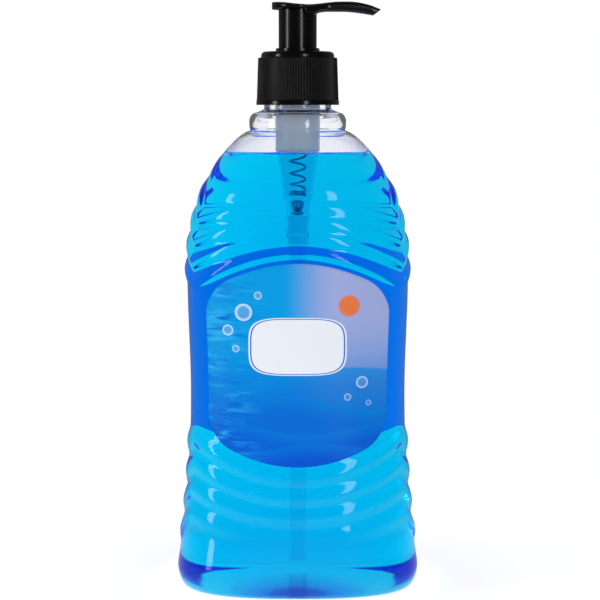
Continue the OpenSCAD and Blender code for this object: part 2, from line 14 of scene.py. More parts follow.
import bpy
import numpy as np
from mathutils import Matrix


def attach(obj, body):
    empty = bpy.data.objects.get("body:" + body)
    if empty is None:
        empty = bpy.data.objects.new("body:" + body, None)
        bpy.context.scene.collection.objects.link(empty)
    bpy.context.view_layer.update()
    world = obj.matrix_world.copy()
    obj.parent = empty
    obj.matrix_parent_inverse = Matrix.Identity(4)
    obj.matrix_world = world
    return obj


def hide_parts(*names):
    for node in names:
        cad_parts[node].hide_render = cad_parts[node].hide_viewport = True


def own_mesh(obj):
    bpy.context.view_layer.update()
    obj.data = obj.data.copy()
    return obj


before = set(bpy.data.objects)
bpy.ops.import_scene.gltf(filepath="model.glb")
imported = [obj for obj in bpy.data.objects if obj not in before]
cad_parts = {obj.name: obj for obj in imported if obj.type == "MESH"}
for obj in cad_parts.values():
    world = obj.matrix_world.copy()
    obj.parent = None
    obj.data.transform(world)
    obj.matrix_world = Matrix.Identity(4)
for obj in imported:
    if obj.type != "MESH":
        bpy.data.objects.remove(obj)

logging.basicConfig(level=logging.INFO, format="%(message)s")
log = logging.getLogger("soap_bottle")

MM = 0.001
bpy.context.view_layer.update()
Array = np.ndarray


class Side(Enum):
    """The face of the bottle that a label is on, as the turn about the axis in radians."""

    FRONT = 0.0
    BACK = math.pi


# Small sums used by every piece


def mix(a: Array | float, b: Array | float, t: Array | float) -> Array | float:
    """Returns the straight blend from a, at t 0, to b, at t 1."""
    return a + (b - a) * t


def share(z: Array | float, low: float, high: float) -> Array:
    """Returns how far z lies from low to high, from 0 to 1 and held there."""
    return np.clip((np.asarray(z, float) - low) / (high - low), 0.0, 1.0)


def smooth(t: Array | float) -> Array | float:
    """Returns 3t squared less 2t cubed, which starts and ends level."""
    return t * t * (3.0 - 2.0 * t)


def arm(v: Array, power: Array | float) -> Array:
    """Returns a superellipse's arm: the sign of v times its size to the power of 2 over power."""
    return np.sign(v) * np.abs(v) ** (2.0 / power)


def circle(r: float, z: float, angles: Array) -> Array:
    """Returns a ring of points of radius r at height z, one for each angle."""
    return np.stack([r * np.cos(angles), r * np.sin(angles), np.full_like(angles, z)], axis=-1)


def eased_corners(profile: list[tuple[float, float]], radius: float, steps: int = 4,
                  closed: bool = True) -> Array:
    """Rounds the corners of a profile, so that smooth shading keeps its flats flat.

    At each corner two points lie radius away along its edges (at most 0.4 of the edge), and a
    quadratic curve with the corner as its middle handle joins them.

    Args:
        profile: points as (radius, height).
        radius: how far from the corner its rounding starts, in millimetres.
        steps: how many pieces each rounding has.
        closed: whether the last point joins the first. If not, the two ends stay as they are.

    Returns:
        The rounded points, one row each.
    """
    p = np.array(profile, float)
    before, after = np.roll(p, 1, axis=0), np.roll(p, -1, axis=0)
    to_before, to_after = before - p, after - p
    len_b = np.linalg.norm(to_before, axis=1, keepdims=True)
    len_a = np.linalg.norm(to_after, axis=1, keepdims=True)
    start = p + to_before / len_b * np.minimum(radius, 0.4 * len_b)
    end = p + to_after / len_a * np.minimum(radius, 0.4 * len_a)
    t = np.linspace(0.0, 1.0, steps + 1)[None, :, None]
    curve = (1 - t) ** 2 * start[:, None] + 2 * t * (1 - t) * p[:, None] + t ** 2 * end[:, None]
    if closed:
        return curve.reshape(-1, 2)
    return np.concatenate([p[:1], curve[1:-1].reshape(-1, 2), p[-1:]])


# Meshes from grids


def object_from(name: str, points: Array, quads: Array, triangles: Array) -> bpy.types.Object:
    """Makes a smooth-shaded mesh object from arrays.

    Args:
        name: the piece's name.
        points: places in millimetres, one row each.
        quads: rows of four point numbers.
        triangles: rows of three point numbers.

    Returns:
        The object, linked to the scene.
    """
    mesh = bpy.data.meshes.new(name)
    mesh.from_pydata((points * MM).tolist(), [], quads.tolist() + triangles.tolist())
    mesh.polygons.foreach_set("use_smooth", np.ones(len(mesh.polygons), bool))
    mesh.validate()
    piece = bpy.data.objects.new(name, mesh)
    bpy.context.scene.collection.objects.link(piece)
    return piece


@dataclass
class Skin:
    """Points and faces of a closed surface, gathered before they become one mesh."""

    points: list[Array] = field(default_factory=list)
    quads: list[Array] = field(default_factory=list)
    triangles: list[Array] = field(default_factory=list)
    count: int = 0

    def add(self, points: Array, quads: Array, triangles: Array | None = None) -> None:
        """Adds an island of points with its faces."""
        self.points.append(points)
        self.quads.append(quads + self.count)
        if triangles is not None:
            self.triangles.append(triangles + self.count)
        self.count += len(points)

    def rings(self, grid: Array, looped: bool = False, poles: tuple[Array, Array] | None = None) -> None:
        """Adds a skin over rings of points, which closes round each ring.

        A quad joins points j and j + 1 of rings i and i + 1. Seen against the way from ring to
        ring, the points run counter-clockwise, which turns the faces outwards.

        Args:
            grid: rings by points by 3.
            looped: whether the last ring joins the first.
            poles: end points that close the first and the last ring.
        """
        m, n = grid.shape[:2]
        i = np.arange(m if looped else m - 1)[:, None]
        j = np.arange(n)[None, :]
        up, side = (i + 1) % m, (j + 1) % n
        quads = np.stack([i * n + j, i * n + side, up * n + side, up * n + j], axis=-1).reshape(-1, 4)
        points = grid.reshape(-1, 3)
        triangles = None
        if poles is not None:
            points = np.concatenate([points, np.array(poles, float).reshape(2, 3)])
            j = np.arange(n)
            last = (m - 1) * n
            first_fan = np.stack([np.full(n, m * n), (j + 1) % n, j], axis=-1)
            last_fan = np.stack([np.full(n, m * n + 1), last + j, last + (j + 1) % n], axis=-1)
            triangles = np.concatenate([first_fan, last_fan])
        self.add(points, quads, triangles)

    def build(self, name: str) -> bpy.types.Object:
        """Returns the gathered surface as one object."""
        empty = np.zeros((0, 3), int)
        return object_from(name, np.concatenate(self.points), np.concatenate(self.quads),
                           np.concatenate(self.triangles) if self.triangles else empty)


def revolved(profile: Array, count: int = 128) -> Array:
    """Returns rings for a closed profile turned about the axis.

    Args:
        profile: points as (radius, height), which run up outside and down inside.
        count: points round each ring.
    """
    a = np.linspace(0.0, 2 * math.pi, count, endpoint=False)[None, :]
    r, z = profile[:, :1], profile[:, 1:]
    return np.stack([r * np.cos(a), r * np.sin(a), np.broadcast_to(z, (len(profile), count))], axis=-1)


def ridge_rings(start: float, turns: float, top: float, pitch: float, section: Array,
                fade: float = 0.12) -> Array:
    """Rings of a thread's ridge, which rises from the wall and sinks back into it at its ends.

    Point of the helix at angle a: height is top less pitch times the turns left; the section's
    radii blend towards its first point's radius over the fade at each end.

    Args:
        start: angle of the lower end, in radians.
        turns: how many turns it makes.
        top: height of the upper end.
        pitch: rise of one turn.
        section: the ridge's outline as (radius, height), rooted at its first point.
        fade: share of the length over which each end fades.

    Returns:
        Rings by points by 3, with the outline running so that the faces point outwards.
    """
    t = np.linspace(0.0, 1.0, int(72 * turns))
    a = (start + 2 * math.pi * turns * t)[:, None]
    grow = np.minimum(1.0, np.minimum(t, 1 - t) / fade)[:, None] * 0.9 + 0.1
    root = section[0, 0]
    r = root + (section[None, :, 0] - root) * grow
    z = top - pitch * turns * (1 - t)[:, None] + section[None, :, 1] * grow
    return np.stack([r * np.cos(a), r * np.sin(a), z], axis=-1)


# Finishes


def linear(hex_colour: str, alpha: float = 1.0) -> tuple[float, float, float, float]:
    """Turns an sRGB hex colour into linear light.

    Each channel c up to 0.04045 becomes c / 12.92, and above it ((c + 0.055) / 1.055) to 2.4.
    """
    s = np.array([int(hex_colour[i:i + 2], 16) / 255.0 for i in (1, 3, 5)])
    value = np.where(s <= 0.04045, s / 12.92, ((s + 0.055) / 1.055) ** 2.4)
    return (*value.tolist(), alpha)


def add_node(tree: bpy.types.NodeTree, kind: str, inputs: dict | None = None, **settings) -> bpy.types.Node:
    """Adds a node to a tree with its settings and links.

    Args:
        tree: the tree that gets the node.
        kind: the node's type, without the ShaderNode in front.
        inputs: for each input, by name or number, a value, the output that feeds it, or the node
            whose first output in use feeds it.
        **settings: attributes of the node.

    Returns:
        The node.
    """
    node = tree.nodes.new("ShaderNode" + kind)
    for name, value in settings.items():
        setattr(node, name, value)
    for name, value in (inputs or {}).items():
        socket = node.inputs[name]
        if isinstance(value, bpy.types.Node):
            value = next(out for out in value.outputs if out.enabled)
        if isinstance(value, bpy.types.NodeSocket):
            tree.links.new(value, socket)
        else:
            socket.default_value = value
    return node


def new_tree(name: str) -> tuple[bpy.types.Material, bpy.types.NodeTree]:
    """Returns a new material and its emptied node tree."""
    material = bpy.data.materials.new(name)
    material.use_nodes = True
    material.node_tree.nodes.clear()
    return material, material.node_tree


def dress(piece: bpy.types.Object, material: bpy.types.Material) -> None:
    """Gives a piece one material in every slot."""
    if not piece.material_slots:
        piece.data.materials.append(material)
    for slot in piece.material_slots:
        slot.material = material


def dress_part(piece: bpy.types.Object, material: bpy.types.Material, wet: Callable[[Array], Array]) -> None:
    """Gives some faces of a dressed piece a second material.

    Args:
        piece: the piece, which has its first material.
        material: the second material.
        wet: says for points in millimetres, one row each, which of them belong to the second one. A
            face goes with its first corner.
    """
    mesh = piece.data
    mesh.materials.append(material)
    place, corners = np.empty(len(mesh.vertices) * 3), np.empty(len(mesh.loops), int)
    starts = np.empty(len(mesh.polygons), int)
    mesh.vertices.foreach_get("co", place)
    mesh.loops.foreach_get("vertex_index", corners)
    mesh.polygons.foreach_get("loop_start", starts)
    mesh.polygons.foreach_set("material_index", wet(place.reshape(-1, 3) / MM)[corners[starts]].astype(int))


@dataclass(frozen=True)
class ClearPet:
    """PET, stretched and blown into a cold mould: clear and glossy, with a faint orange peel."""

    tint: str = "#feffff"
    ior: float = 1.57
    roughness: float = 0.012
    level: float = 0.3
    peel_mm: float = 7.0
    peel_depth_mm: float = 0.012

    def build(self) -> bpy.types.Material:
        """Returns the material: glass with a slow, shallow bump from the mould's flow."""
        material, tree = new_tree("clear_blown_pet")
        place = add_node(tree, "TexCoord").outputs["Object"]
        peel = add_node(tree, "TexNoise", {"Vector": place, "Scale": 1 / (self.peel_mm * MM), "Detail": 1.0})
        bump = add_node(tree, "Bump", {"Height": peel.outputs["Fac"], "Strength": 1.0,
                                       "Distance": self.peel_depth_mm * MM})
        shader = add_node(tree, "BsdfPrincipled", {
            "Base Color": linear(self.tint), "Roughness": self.roughness, "IOR": self.ior,
            "Transmission Weight": 1.0, "Specular IOR Level": self.level, "Normal": bump.outputs["Normal"]})
        add_node(tree, "OutputMaterial", {"Surface": shader.outputs["BSDF"]})
        return material


@dataclass(frozen=True)
class WettedPlastic:
    """Clear moulded plastic where soap wets it: its index is given against the soap's, so it nearly goes."""

    name: str
    tint: str = "#ffffff"
    ior: float = 1.0
    roughness: float = 0.0

    def build(self) -> bpy.types.Material:
        """Returns the material: a tinted film with a faint cloud, which bends light only a little."""
        material, tree = new_tree(self.name)
        place = add_node(tree, "TexCoord").outputs["Object"]
        cloud = add_node(tree, "TexNoise", {"Vector": place, "Scale": 1 / (12 * MM), "Detail": 1.0})
        tone = add_node(tree, "Mix", {"Factor": cloud, 6: linear(self.tint),
                                      7: tuple(0.98 * c for c in linear(self.tint)[:3]) + (1.0,)},
                        data_type="RGBA")
        shader = add_node(tree, "BsdfPrincipled", {
            "Base Color": tone, "Roughness": self.roughness, "IOR": self.ior, "Transmission Weight": 1.0})
        add_node(tree, "OutputMaterial", {"Surface": shader})
        return material


@dataclass(frozen=True)
class BlueSoap:
    """Clear liquid soap, dyed blue: it takes off red at once and green slowly, so depth turns it cyan.

    Its face stands for the wall's there, so it has the haze of the base, which stays thick and
    unstretched when the bottle is blown.
    """

    ior: float = 1.37
    density: float = 265.0
    red: float = 0.0
    green: float = 0.9598
    blue: float = 0.9955
    cloud: str = "#f6f6f6"
    peel_mm: float = 9.0
    peel_depth_mm: float = 0.01
    haze: float = 0.15
    haze_mm: float = 6.2

    def build(self) -> bpy.types.Material:
        """Returns the material: a clear surface round an absorbing volume."""
        material, tree = new_tree("dyed_liquid_soap")
        place = add_node(tree, "TexCoord").outputs["Object"]
        ripple = add_node(tree, "TexNoise",
                          {"Vector": place, "Scale": 1 / (self.peel_mm * MM), "Detail": 0.0})
        bump = add_node(tree, "Bump",
                        {"Height": ripple, "Strength": 1.0, "Distance": self.peel_depth_mm * MM})
        height = add_node(tree, "SeparateXYZ", {"Vector": place}).outputs["Z"]
        haze = add_node(tree, "MapRange", {"Value": height, "From Min": self.haze_mm * MM,
                                           "From Max": 1.5 * self.haze_mm * MM,
                                           "To Min": self.haze, "To Max": 0.0},
                        interpolation_type="SMOOTHSTEP")
        shader = add_node(tree, "BsdfPrincipled", {
            "Base Color": linear(self.cloud), "Roughness": haze, "IOR": self.ior,
            "Transmission Weight": 1.0, "Normal": bump})
        depth = add_node(tree, "VolumeAbsorption", {
            "Color": (self.red, self.green, self.blue, 1.0), "Density": self.density})
        add_node(tree, "OutputMaterial",
                 {"Surface": shader.outputs["BSDF"], "Volume": depth.outputs["Volume"]})
        return material


@dataclass(frozen=True)
class MouldedBlack:
    """Black polypropylene, injection moulded: the mould's polish or spark finish sets its gloss."""

    name: str
    colour: str = "#0b0b0d"
    roughness: float = 0.2
    grain_mm: float = 0.35
    grain_depth_mm: float = 0.004
    level: float = 0.5

    def build(self) -> bpy.types.Material:
        """Returns the material: dark plastic whose fine grain varies the gloss and the normal."""
        material, tree = new_tree(self.name)
        place = add_node(tree, "TexCoord").outputs["Object"]
        grain = add_node(tree, "TexNoise",
                         {"Vector": place, "Scale": 1 / (self.grain_mm * MM), "Detail": 2.0})
        flow = add_node(tree, "TexNoise", {"Vector": place, "Scale": 1 / (14 * MM), "Detail": 2.0})
        gloss = add_node(tree, "MapRange", {
            "Value": flow.outputs["Fac"], "From Min": 0.3, "From Max": 0.7,
            "To Min": self.roughness * 0.85, "To Max": self.roughness * 1.2})
        bump = add_node(tree, "Bump", {"Height": grain.outputs["Fac"], "Strength": 1.0,
                                       "Distance": self.grain_depth_mm * MM})
        shader = add_node(tree, "BsdfPrincipled", {
            "Base Color": linear(self.colour), "Roughness": gloss.outputs["Result"], "IOR": 1.49,
            "Specular IOR Level": self.level, "Normal": bump.outputs["Normal"]})
        add_node(tree, "OutputMaterial", {"Surface": shader.outputs["BSDF"]})
        return material


@dataclass(frozen=True)
class NaturalPlastic:
    """Unpigmented polypropylene or polyethylene, moulded: milky, because its crystals scatter light."""

    name: str
    colour: str = "#f6fafb"
    transmission: float = 0.35
    roughness: float = 0.25
    ior: float = 1.46

    def build(self) -> bpy.types.Material:
        """Returns the material: partly clear plastic with a soft cloud in its colour."""
        material, tree = new_tree(self.name)
        place = add_node(tree, "TexCoord").outputs["Object"]
        cloud = add_node(tree, "TexNoise", {"Vector": place, "Scale": 1 / (9 * MM), "Detail": 2.0})
        tone = add_node(tree, "Mix", {"Factor": cloud.outputs["Fac"], 6: linear(self.colour),
                                      7: tuple(0.92 * c for c in linear(self.colour)[:3]) + (1.0,)},
                        data_type="RGBA")
        shader = add_node(tree, "BsdfPrincipled", {
            "Base Color": tone.outputs[2], "Roughness": self.roughness, "IOR": self.ior,
            "Transmission Weight": self.transmission})
        add_node(tree, "OutputMaterial", {"Surface": shader.outputs["BSDF"]})
        return material


@dataclass(frozen=True)
class SpringSteel:
    """Stainless wire, cold drawn and coiled: bright, with fine lines along the wire."""

    colour: str = "#b9bcc0"
    roughness: float = 0.28

    def build(self) -> bpy.types.Material:
        """Returns the material: metal whose roughness follows fine drawn lines."""
        material, tree = new_tree("drawn_stainless_wire")
        place = add_node(tree, "TexCoord").outputs["Object"]
        lines = add_node(tree, "TexNoise", {"Vector": place, "Scale": 1 / (0.6 * MM), "Detail": 3.0})
        gloss = add_node(tree, "MapRange", {"Value": lines.outputs["Fac"], "To Min": self.roughness * 0.7,
                                            "To Max": self.roughness * 1.4})
        shader = add_node(tree, "BsdfPrincipled", {
            "Base Color": linear(self.colour), "Metallic": 1.0, "Roughness": gloss.outputs["Result"]})
        add_node(tree, "OutputMaterial", {"Surface": shader.outputs["BSDF"]})
        return material


# Bottle


@dataclass(frozen=True)
class BottleForm:
    """Sizes of the blown bottle and the places of its wall. Angle 0 is at +X."""

    body_h: float = 179.0
    foot_w: float = 47.7
    foot_d: float = 34.0
    waist_w: float = 42.2
    waist_d: float = 31.5
    chest_w: float = 43.3
    chest_d: float = 33.0
    foot_z: float = 8.5
    waist_z: float = 78.0
    shoulder_h: float = 57.0
    foot_round: float = 4.2
    contact_w: float = 5.0
    pushup_h: float = 6.0
    plan_power: float = 2.5
    wall_t: float = 0.7
    rib_count: int = 4
    rib_h: float = 1.1
    rib_face: float = 0.5
    outer_rib: float = 0.35
    upper_first: tuple[float, float, float] = (4.0, -2.0, 11.5)
    upper_pitch: tuple[float, float, float] = (10.2, 8.6, 5.8)
    lower_first: tuple[float, float, float] = (57.5, 60.5, 47.0)
    lower_pitch: tuple[float, float, float] = (11.8, 9.7, 7.5)
    collar_r: float = 18.9
    corner: float = math.radians(25.0)
    side_steps: int = 18
    face_steps: int = 46

    @property
    def chest_z(self) -> float:
        """Height at which the shoulder starts."""
        return self.body_h - self.shoulder_h

    @property
    def last(self) -> float:
        """Place of the last rib's outer valley, counted from the label."""
        return self.rib_count - 0.5

    def angles(self, thin: int = 1) -> Array:
        """Returns the columns' angles, spaced evenly between side middles, corners and face middles.

        Args:
            thin: how many times fewer columns than the finest.
        """
        side = np.linspace(0.0, self.corner, self.side_steps // thin, endpoint=False)
        face = np.linspace(self.corner, math.pi / 2, self.face_steps // thin, endpoint=False)
        quarter = np.concatenate([side, face])
        half = np.concatenate([quarter, [math.pi / 2], math.pi - quarter[:0:-1]])
        return np.concatenate([half, math.pi + half])

    def half_size(self, z: Array, foot: float, waist: float, chest: float) -> Array:
        """Half width or half depth at height z.

        Under the waist it grows from waist to foot with the 2.1th power of the way down, less the
        quarter ellipse of the foot's rounding; up to the chest it eases from waist to chest; over
        the chest it falls to the collar as (1 - s to 2.2) to 1 / 1.35, with s the way up.
        """
        low = mix(waist, foot, (1 - share(z, self.foot_z, self.waist_z)) ** 2.1)
        inset = np.clip(1 - z / self.foot_z, 0.0, 1.0)
        low = low - self.foot_round * (1 - np.sqrt(1 - inset ** 2))
        middle = mix(waist, chest, smooth(share(z, self.waist_z, self.chest_z)))
        fall = (1 - share(z, self.chest_z, self.body_h) ** 2.2) ** (1 / 1.35)
        high = mix(self.collar_r, chest, fall)
        return np.where(z < self.waist_z, low, np.where(z < self.chest_z, middle, high))

    def wall(self, a: Array, z: Array, grow: Array | float) -> Array:
        """Places on the wall, moved out by grow: a superellipse in plan that turns round at the collar."""
        power = mix(self.plan_power, 2.0, share(z, self.chest_z, self.body_h) ** 2)
        x = (self.half_size(z, self.foot_w, self.waist_w, self.chest_w) + grow) * arm(np.cos(a), power)
        y = (self.half_size(z, self.foot_d, self.waist_d, self.chest_d) + grow) * arm(np.sin(a), power)
        return np.stack(np.broadcast_arrays(x, y, z), axis=-1)

    def across(self, a: Array) -> tuple[Array, Array]:
        """Returns whether an angle is on a narrow side, and how far from the middle of its face it is.

        The way is the superellipse's arm over its value at the corner, so it is 1 at the corner.
        """
        fold = np.abs(np.mod(a + math.pi / 2, math.pi) - math.pi / 2)
        on_side = fold <= self.corner
        s = arm(np.sin(fold), self.plan_power) / arm(np.sin(self.corner), self.plan_power)
        f = arm(np.cos(fold), self.plan_power) / arm(np.cos(self.corner), self.plan_power)
        return on_side, np.where(on_side, s, f)

    def arch(self, a: Array, side: Array, corner: Array, front: Array) -> Array:
        """Height of a rib's line: from the middle of a face it goes to the corners with the square."""
        on_side, way = self.across(a)
        return mix(np.where(on_side, side, front), corner, way ** 2)

    def upper_line(self, a: Array, k: Array | float) -> Array:
        """Height of place k in the ribs above the label."""
        side, corner, front = (self.chest_z + f + np.asarray(k) * p
                               for f, p in zip(self.upper_first, self.upper_pitch))
        return self.arch(a, side, corner, front)

    def lower_line(self, a: Array, k: Array | float) -> Array:
        """Height of place k in the ribs under the label."""
        side, corner, front = (f - np.asarray(k) * p for f, p in zip(self.lower_first, self.lower_pitch))
        return self.arch(a, side, corner, front)

    def rise(self, a: Array, k: Array, lower: bool = False) -> Array:
        """Height of the rib over its valley: a rectified cosine with eased valleys.

        It falls to rib_face at the middle of a face with the square of the way to the corner. The
        last rib under the label fades with the 4th power, so that it is there on the sides only.
        """
        ease = 0.3
        wave = (np.sqrt(np.cos(math.pi * k) ** 2 + ease ** 2) - ease) / (math.sqrt(1 + ease ** 2) - ease)
        on_side, way = self.across(a)
        way = np.where(on_side, 1.0, way)
        fade = np.where(lower & (k > self.last - 1), way ** 4, 1.0)
        rib = self.rib_h * wave * np.where(k > self.last, self.outer_rib, 1.0)
        return rib * mix(self.rib_face, 1.0, way ** 2) * fade

    def body_rings(self, angles: Array, grow: float, step: float, panels: int) -> Array:
        """Rings of the wall from the foot's widest place to the end of the upper ribs.

        Args:
            angles: the columns.
            grow: how far out from the wall, in millimetres.
            step: share of a rib's pitch between rings.
            panels: rings over the label's height.
        """
        a = angles[None, :]
        k_low = np.arange(self.last, -0.5 - step / 2, -step)[:, None]
        k_up = np.arange(-0.5, self.last + 1 + step / 2, step)[:, None]
        foot_t = np.linspace(0.0, 1.0, 8)[:-1, None]
        foot = self.wall(a, mix(self.foot_z, self.lower_line(a, self.last), foot_t), grow)
        low = self.wall(a, self.lower_line(a, k_low), grow + self.rise(a, k_low, True))
        t = np.linspace(0.0, 1.0, panels + 2)[1:-1, None]
        panel = self.wall(a, mix(self.lower_line(a, -0.5), self.upper_line(a, -0.5), t), grow)
        up = self.wall(a, self.upper_line(a, k_up), grow + self.rise(a, k_up))
        return np.concatenate([foot, low, panel, up])

    def shoulder_rings(self, angles: Array, grow: float, shares: Array) -> Array:
        """Rings from the upper ribs to the collar. Each blends the last rib's line into the level top."""
        a = angles[None, :]
        low = self.upper_line(a, self.last + 1)
        return self.wall(a, mix(low, self.body_h, shares[:, None]), grow)


@dataclass
class Bottle:
    """The blown bottle, its soap and its two labels."""

    form: BottleForm = field(default_factory=BottleForm)
    neck_h: float = 26.0
    collar_h: float = 3.6
    collar_wall: float = 1.3
    neck_r: float = 12.55
    neck_wall: float = 1.65
    thread_h: float = 1.2
    thread_pitch: float = 4.233
    thread_turns: float = 1.5
    thread_drop: float = 3.0
    closure_foot: float = 189.0
    soap_z: float = 170.0
    meniscus: float = 1.1
    film: float = 0.04
    label_w: float = 34.0
    label_gap: float = 1.0
    label_corner: float = 8.0
    label_t: float = 0.15

    @property
    def rim_z(self) -> float:
        """Height of the neck's rim."""
        return self.form.body_h + self.neck_h

    def neck_profile(self) -> Array:
        """Outline of the neck from the wall's end over the rim and down to the collar's inside."""
        low = self.form.body_h
        straight = low + self.collar_h
        outer, neck, inner = self.form.collar_r, self.neck_r + 0.5, self.form.collar_r - self.collar_wall
        bore = self.neck_r - self.neck_wall
        turn = np.linspace(0.0, math.pi / 2, 10)
        swell = [(outer - 2.6 * (1 - math.cos(b)), straight + 3.4 * math.sin(b)) for b in turn]
        outside = [(outer - 0.5, low + 0.3), (outer - 0.1, low + 1.2)] + swell + [(neck, straight + 4.8)]
        rim = [(neck, self.closure_foot + 3), (self.neck_r, self.closure_foot + 3.6),
               (self.neck_r, self.rim_z), (bore, self.rim_z), (bore, straight + 4.8)]
        inside = [(inner - 2.4 * (1 - math.cos(b)), straight - 0.9 + 3.4 * math.sin(b)) for b in turn[::-1]]
        inside = [(bore + 0.6, straight + 3.6)] + inside
        ends = [(inner, straight - 1.4), (inner, low + 0.2)]
        return eased_corners(outside + rim + inside + ends, 0.45, 2, closed=False)

    def build_shell(self, finish: bpy.types.Material, wetted: bpy.types.Material) -> bpy.types.Object:
        """Builds the bottle: one skin up the outside, over the rim, down the inside, with its thread.

        Args:
            finish: the wall over the soap.
            wetted: the wall where soap wets it.
        """
        form = self.form
        a = form.angles()
        foot = form.foot_z * (1 - np.cos(np.linspace(0.0, math.pi / 2, 10)))[:-1, None]
        base_out = form.wall(a[None, :], np.zeros((1, 1)), -form.contact_w)
        base_mid = form.wall(a[None, :], np.zeros((1, 1)), -form.contact_w * 0.15)
        dome = [np.concatenate([base_out[..., :2] * s,
                                np.full((1, len(a), 1), form.pushup_h * (1 - s ** 2.2))], axis=-1)
                for s in np.sin(np.linspace(0.1, math.pi / 2, 20))[:-1]]
        shares = np.sin(np.linspace(0.0, math.pi / 2, 24))[1:]
        outer = np.concatenate(dome + [base_out, base_mid, form.wall(a[None, :], foot, 0.0)]
                               + [form.body_rings(a, 0.0, 0.1, 22), form.shoulder_rings(a, 0.0, shares)])
        neck = np.concatenate([circle(r, z, a)[None] for r, z in self.neck_profile()])
        t = form.wall_t
        inner_shoulder = form.shoulder_rings(a, -t - 0.2, shares[:-3])
        inner_shoulder[..., 2] -= 0.9 * shares[:-3, None]
        inner_base = np.concatenate([form.wall(a[None, :], np.full((1, 1), form.foot_z * s), -t)
                                     for s in (0.25, 0.5, 0.75)])
        floor = [np.concatenate([base_out[..., :2] * s,
                                 np.full((1, len(a), 1), t + form.pushup_h * (1 - min(s, 1.0) ** 2.2))],
                                axis=-1)
                 for s in np.sin(np.linspace(0.1, math.pi / 2, 16))]
        inner = np.concatenate(floor + [inner_base, form.body_rings(a, -t, 0.2, 12), inner_shoulder])
        skin = Skin()
        skin.rings(np.concatenate([outer, neck, inner[::-1]]),
                   poles=((0, 0, form.pushup_h), (0, 0, form.pushup_h + t)))
        section = eased_corners([(self.neck_r - 0.3, -1.05), (self.neck_r + self.thread_h, -0.5),
                                 (self.neck_r + self.thread_h, 0.5), (self.neck_r - 0.3, 1.05)], 0.25, 3)
        skin.rings(ridge_rings(math.radians(37), self.thread_turns, self.rim_z - self.thread_drop,
                               self.thread_pitch, section)[:, ::-1],
                   poles=self.ridge_poles())
        shell = skin.build("bottle_shell")
        dress(shell, finish)
        # The wall counts as wetted to a little above the soap's level
        wet_edge = self.soap_z + 0.4
        dress_part(shell, wetted, lambda place: place[:, 2] < wet_edge)
        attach(shell, "bottle_body")
        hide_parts("bottle")
        return shell

    def ridge_poles(self) -> tuple[tuple[float, float, float], tuple[float, float, float]]:
        """Returns the points that close the thread's two ends, just inside the neck's wall."""
        turn, top = math.radians(37), self.rim_z - self.thread_drop
        r = self.neck_r - 0.3
        end = turn + 2 * math.pi * self.thread_turns
        low = top - self.thread_pitch * self.thread_turns
        return ((r * math.cos(turn), r * math.sin(turn), low), (r * math.cos(end), r * math.sin(end), top))

    def build_soap(self, finish: bpy.types.Material, against_pump: bpy.types.Material,
                   pocket: Array) -> bpy.types.Object:
        """Builds the soap: the inner wall's shape with a meniscus, and a pocket round the pump.

        The skin runs from the floor's middle up the wall to the meniscus, over the level surface to
        the pump, and down the pump to the end of its tube. It lies just inside the wall's outer
        face, so that light meets no film of air between the wall and the soap.

        Args:
            finish: the soap's material.
            against_pump: its face where it wets the pump.
            pocket: the pump's outline under the surface as (radius, height), from the top down.
        """
        form = self.form
        a = form.angles(2)
        grow = -self.film
        base = form.wall(a[None, :], np.zeros((1, 1)), -form.contact_w)
        floor = [np.concatenate([base[..., :2] * s, np.full((1, len(a), 1),
                 self.film + form.pushup_h * (1 - min(s, 1.0) ** 2.2))], axis=-1)
                 for s in np.sin(np.linspace(0.02, math.pi / 2, 64))]
        foot = [form.wall(a[None, :], np.full((1, 1), self.film + form.foot_z * s), grow)
                for s in 1 - np.cos(np.linspace(0.0, math.pi / 2, 10))[:-1]]
        body = form.body_rings(a, grow, 0.125, 16)
        shares = np.linspace(0.0, 1.0, 60)[1:]
        above = form.shoulder_rings(a, grow, shares)
        rings = np.concatenate(floor + foot + [body, above])
        top = self.soap_z + self.meniscus
        rings[..., 2] = np.minimum(rings[..., 2], top)
        keep = rings[..., 2].min(axis=1) < top - 0.3
        rings = rings[keep]
        line = form.wall(a[None, :], np.full((1, len(a)), top), grow)
        # Where a ring passed the surface its points go to the wall at the surface's height
        capped = rings[..., 2] >= top
        rings = np.where(capped[..., None], np.broadcast_to(line, rings.shape), rings)
        depth = np.array([0.25, 0.6, 1.1, 1.8, 2.8, 4.2])
        fall = self.soap_z + self.meniscus * np.exp(-depth / 0.9)
        rim = [form.wall(a[None, :], np.full((1, len(a)), top), grow - d) for d in depth]
        rim = [np.concatenate([r[..., :2], np.full((1, len(a), 1), z)], axis=-1) for r, z in zip(rim, fall)]
        middle = circle(pocket[0, 0] + 2.0, self.soap_z, a)[None]
        surface = [mix(rim[-1], middle, t) for t in (0.33, 0.66, 1.0)]
        near = [circle(pocket[0, 0] + d, self.soap_z + 0.5 * math.exp(-d / 0.6), a)[None] for d in (0.9, 0.3)]
        down = [circle(r, z, a)[None] for r, z in eased_corners(pocket, 0.12, 3, closed=False)]
        down[0][..., 2] = self.soap_z + 0.5
        skin = Skin()
        skin.rings(np.concatenate([rings, line] + rim + surface + near + down),
                   poles=((0, 0, form.pushup_h + self.film), (0, 0, float(pocket[-1, 1] + 0.3))))
        soap = skin.build("soap_fill")
        dress(soap, finish)
        # The faces round the pump are those near the axis, above the base
        near_pump = pocket[0, 0] + 0.05
        over_base = 9
        dress_part(soap, against_pump,
                   lambda place: (np.hypot(place[:, 0], place[:, 1]) < near_pump) & (place[:, 2] > over_base))
        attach(soap, "bottle_body")
        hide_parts("liquid_soap")
        return soap

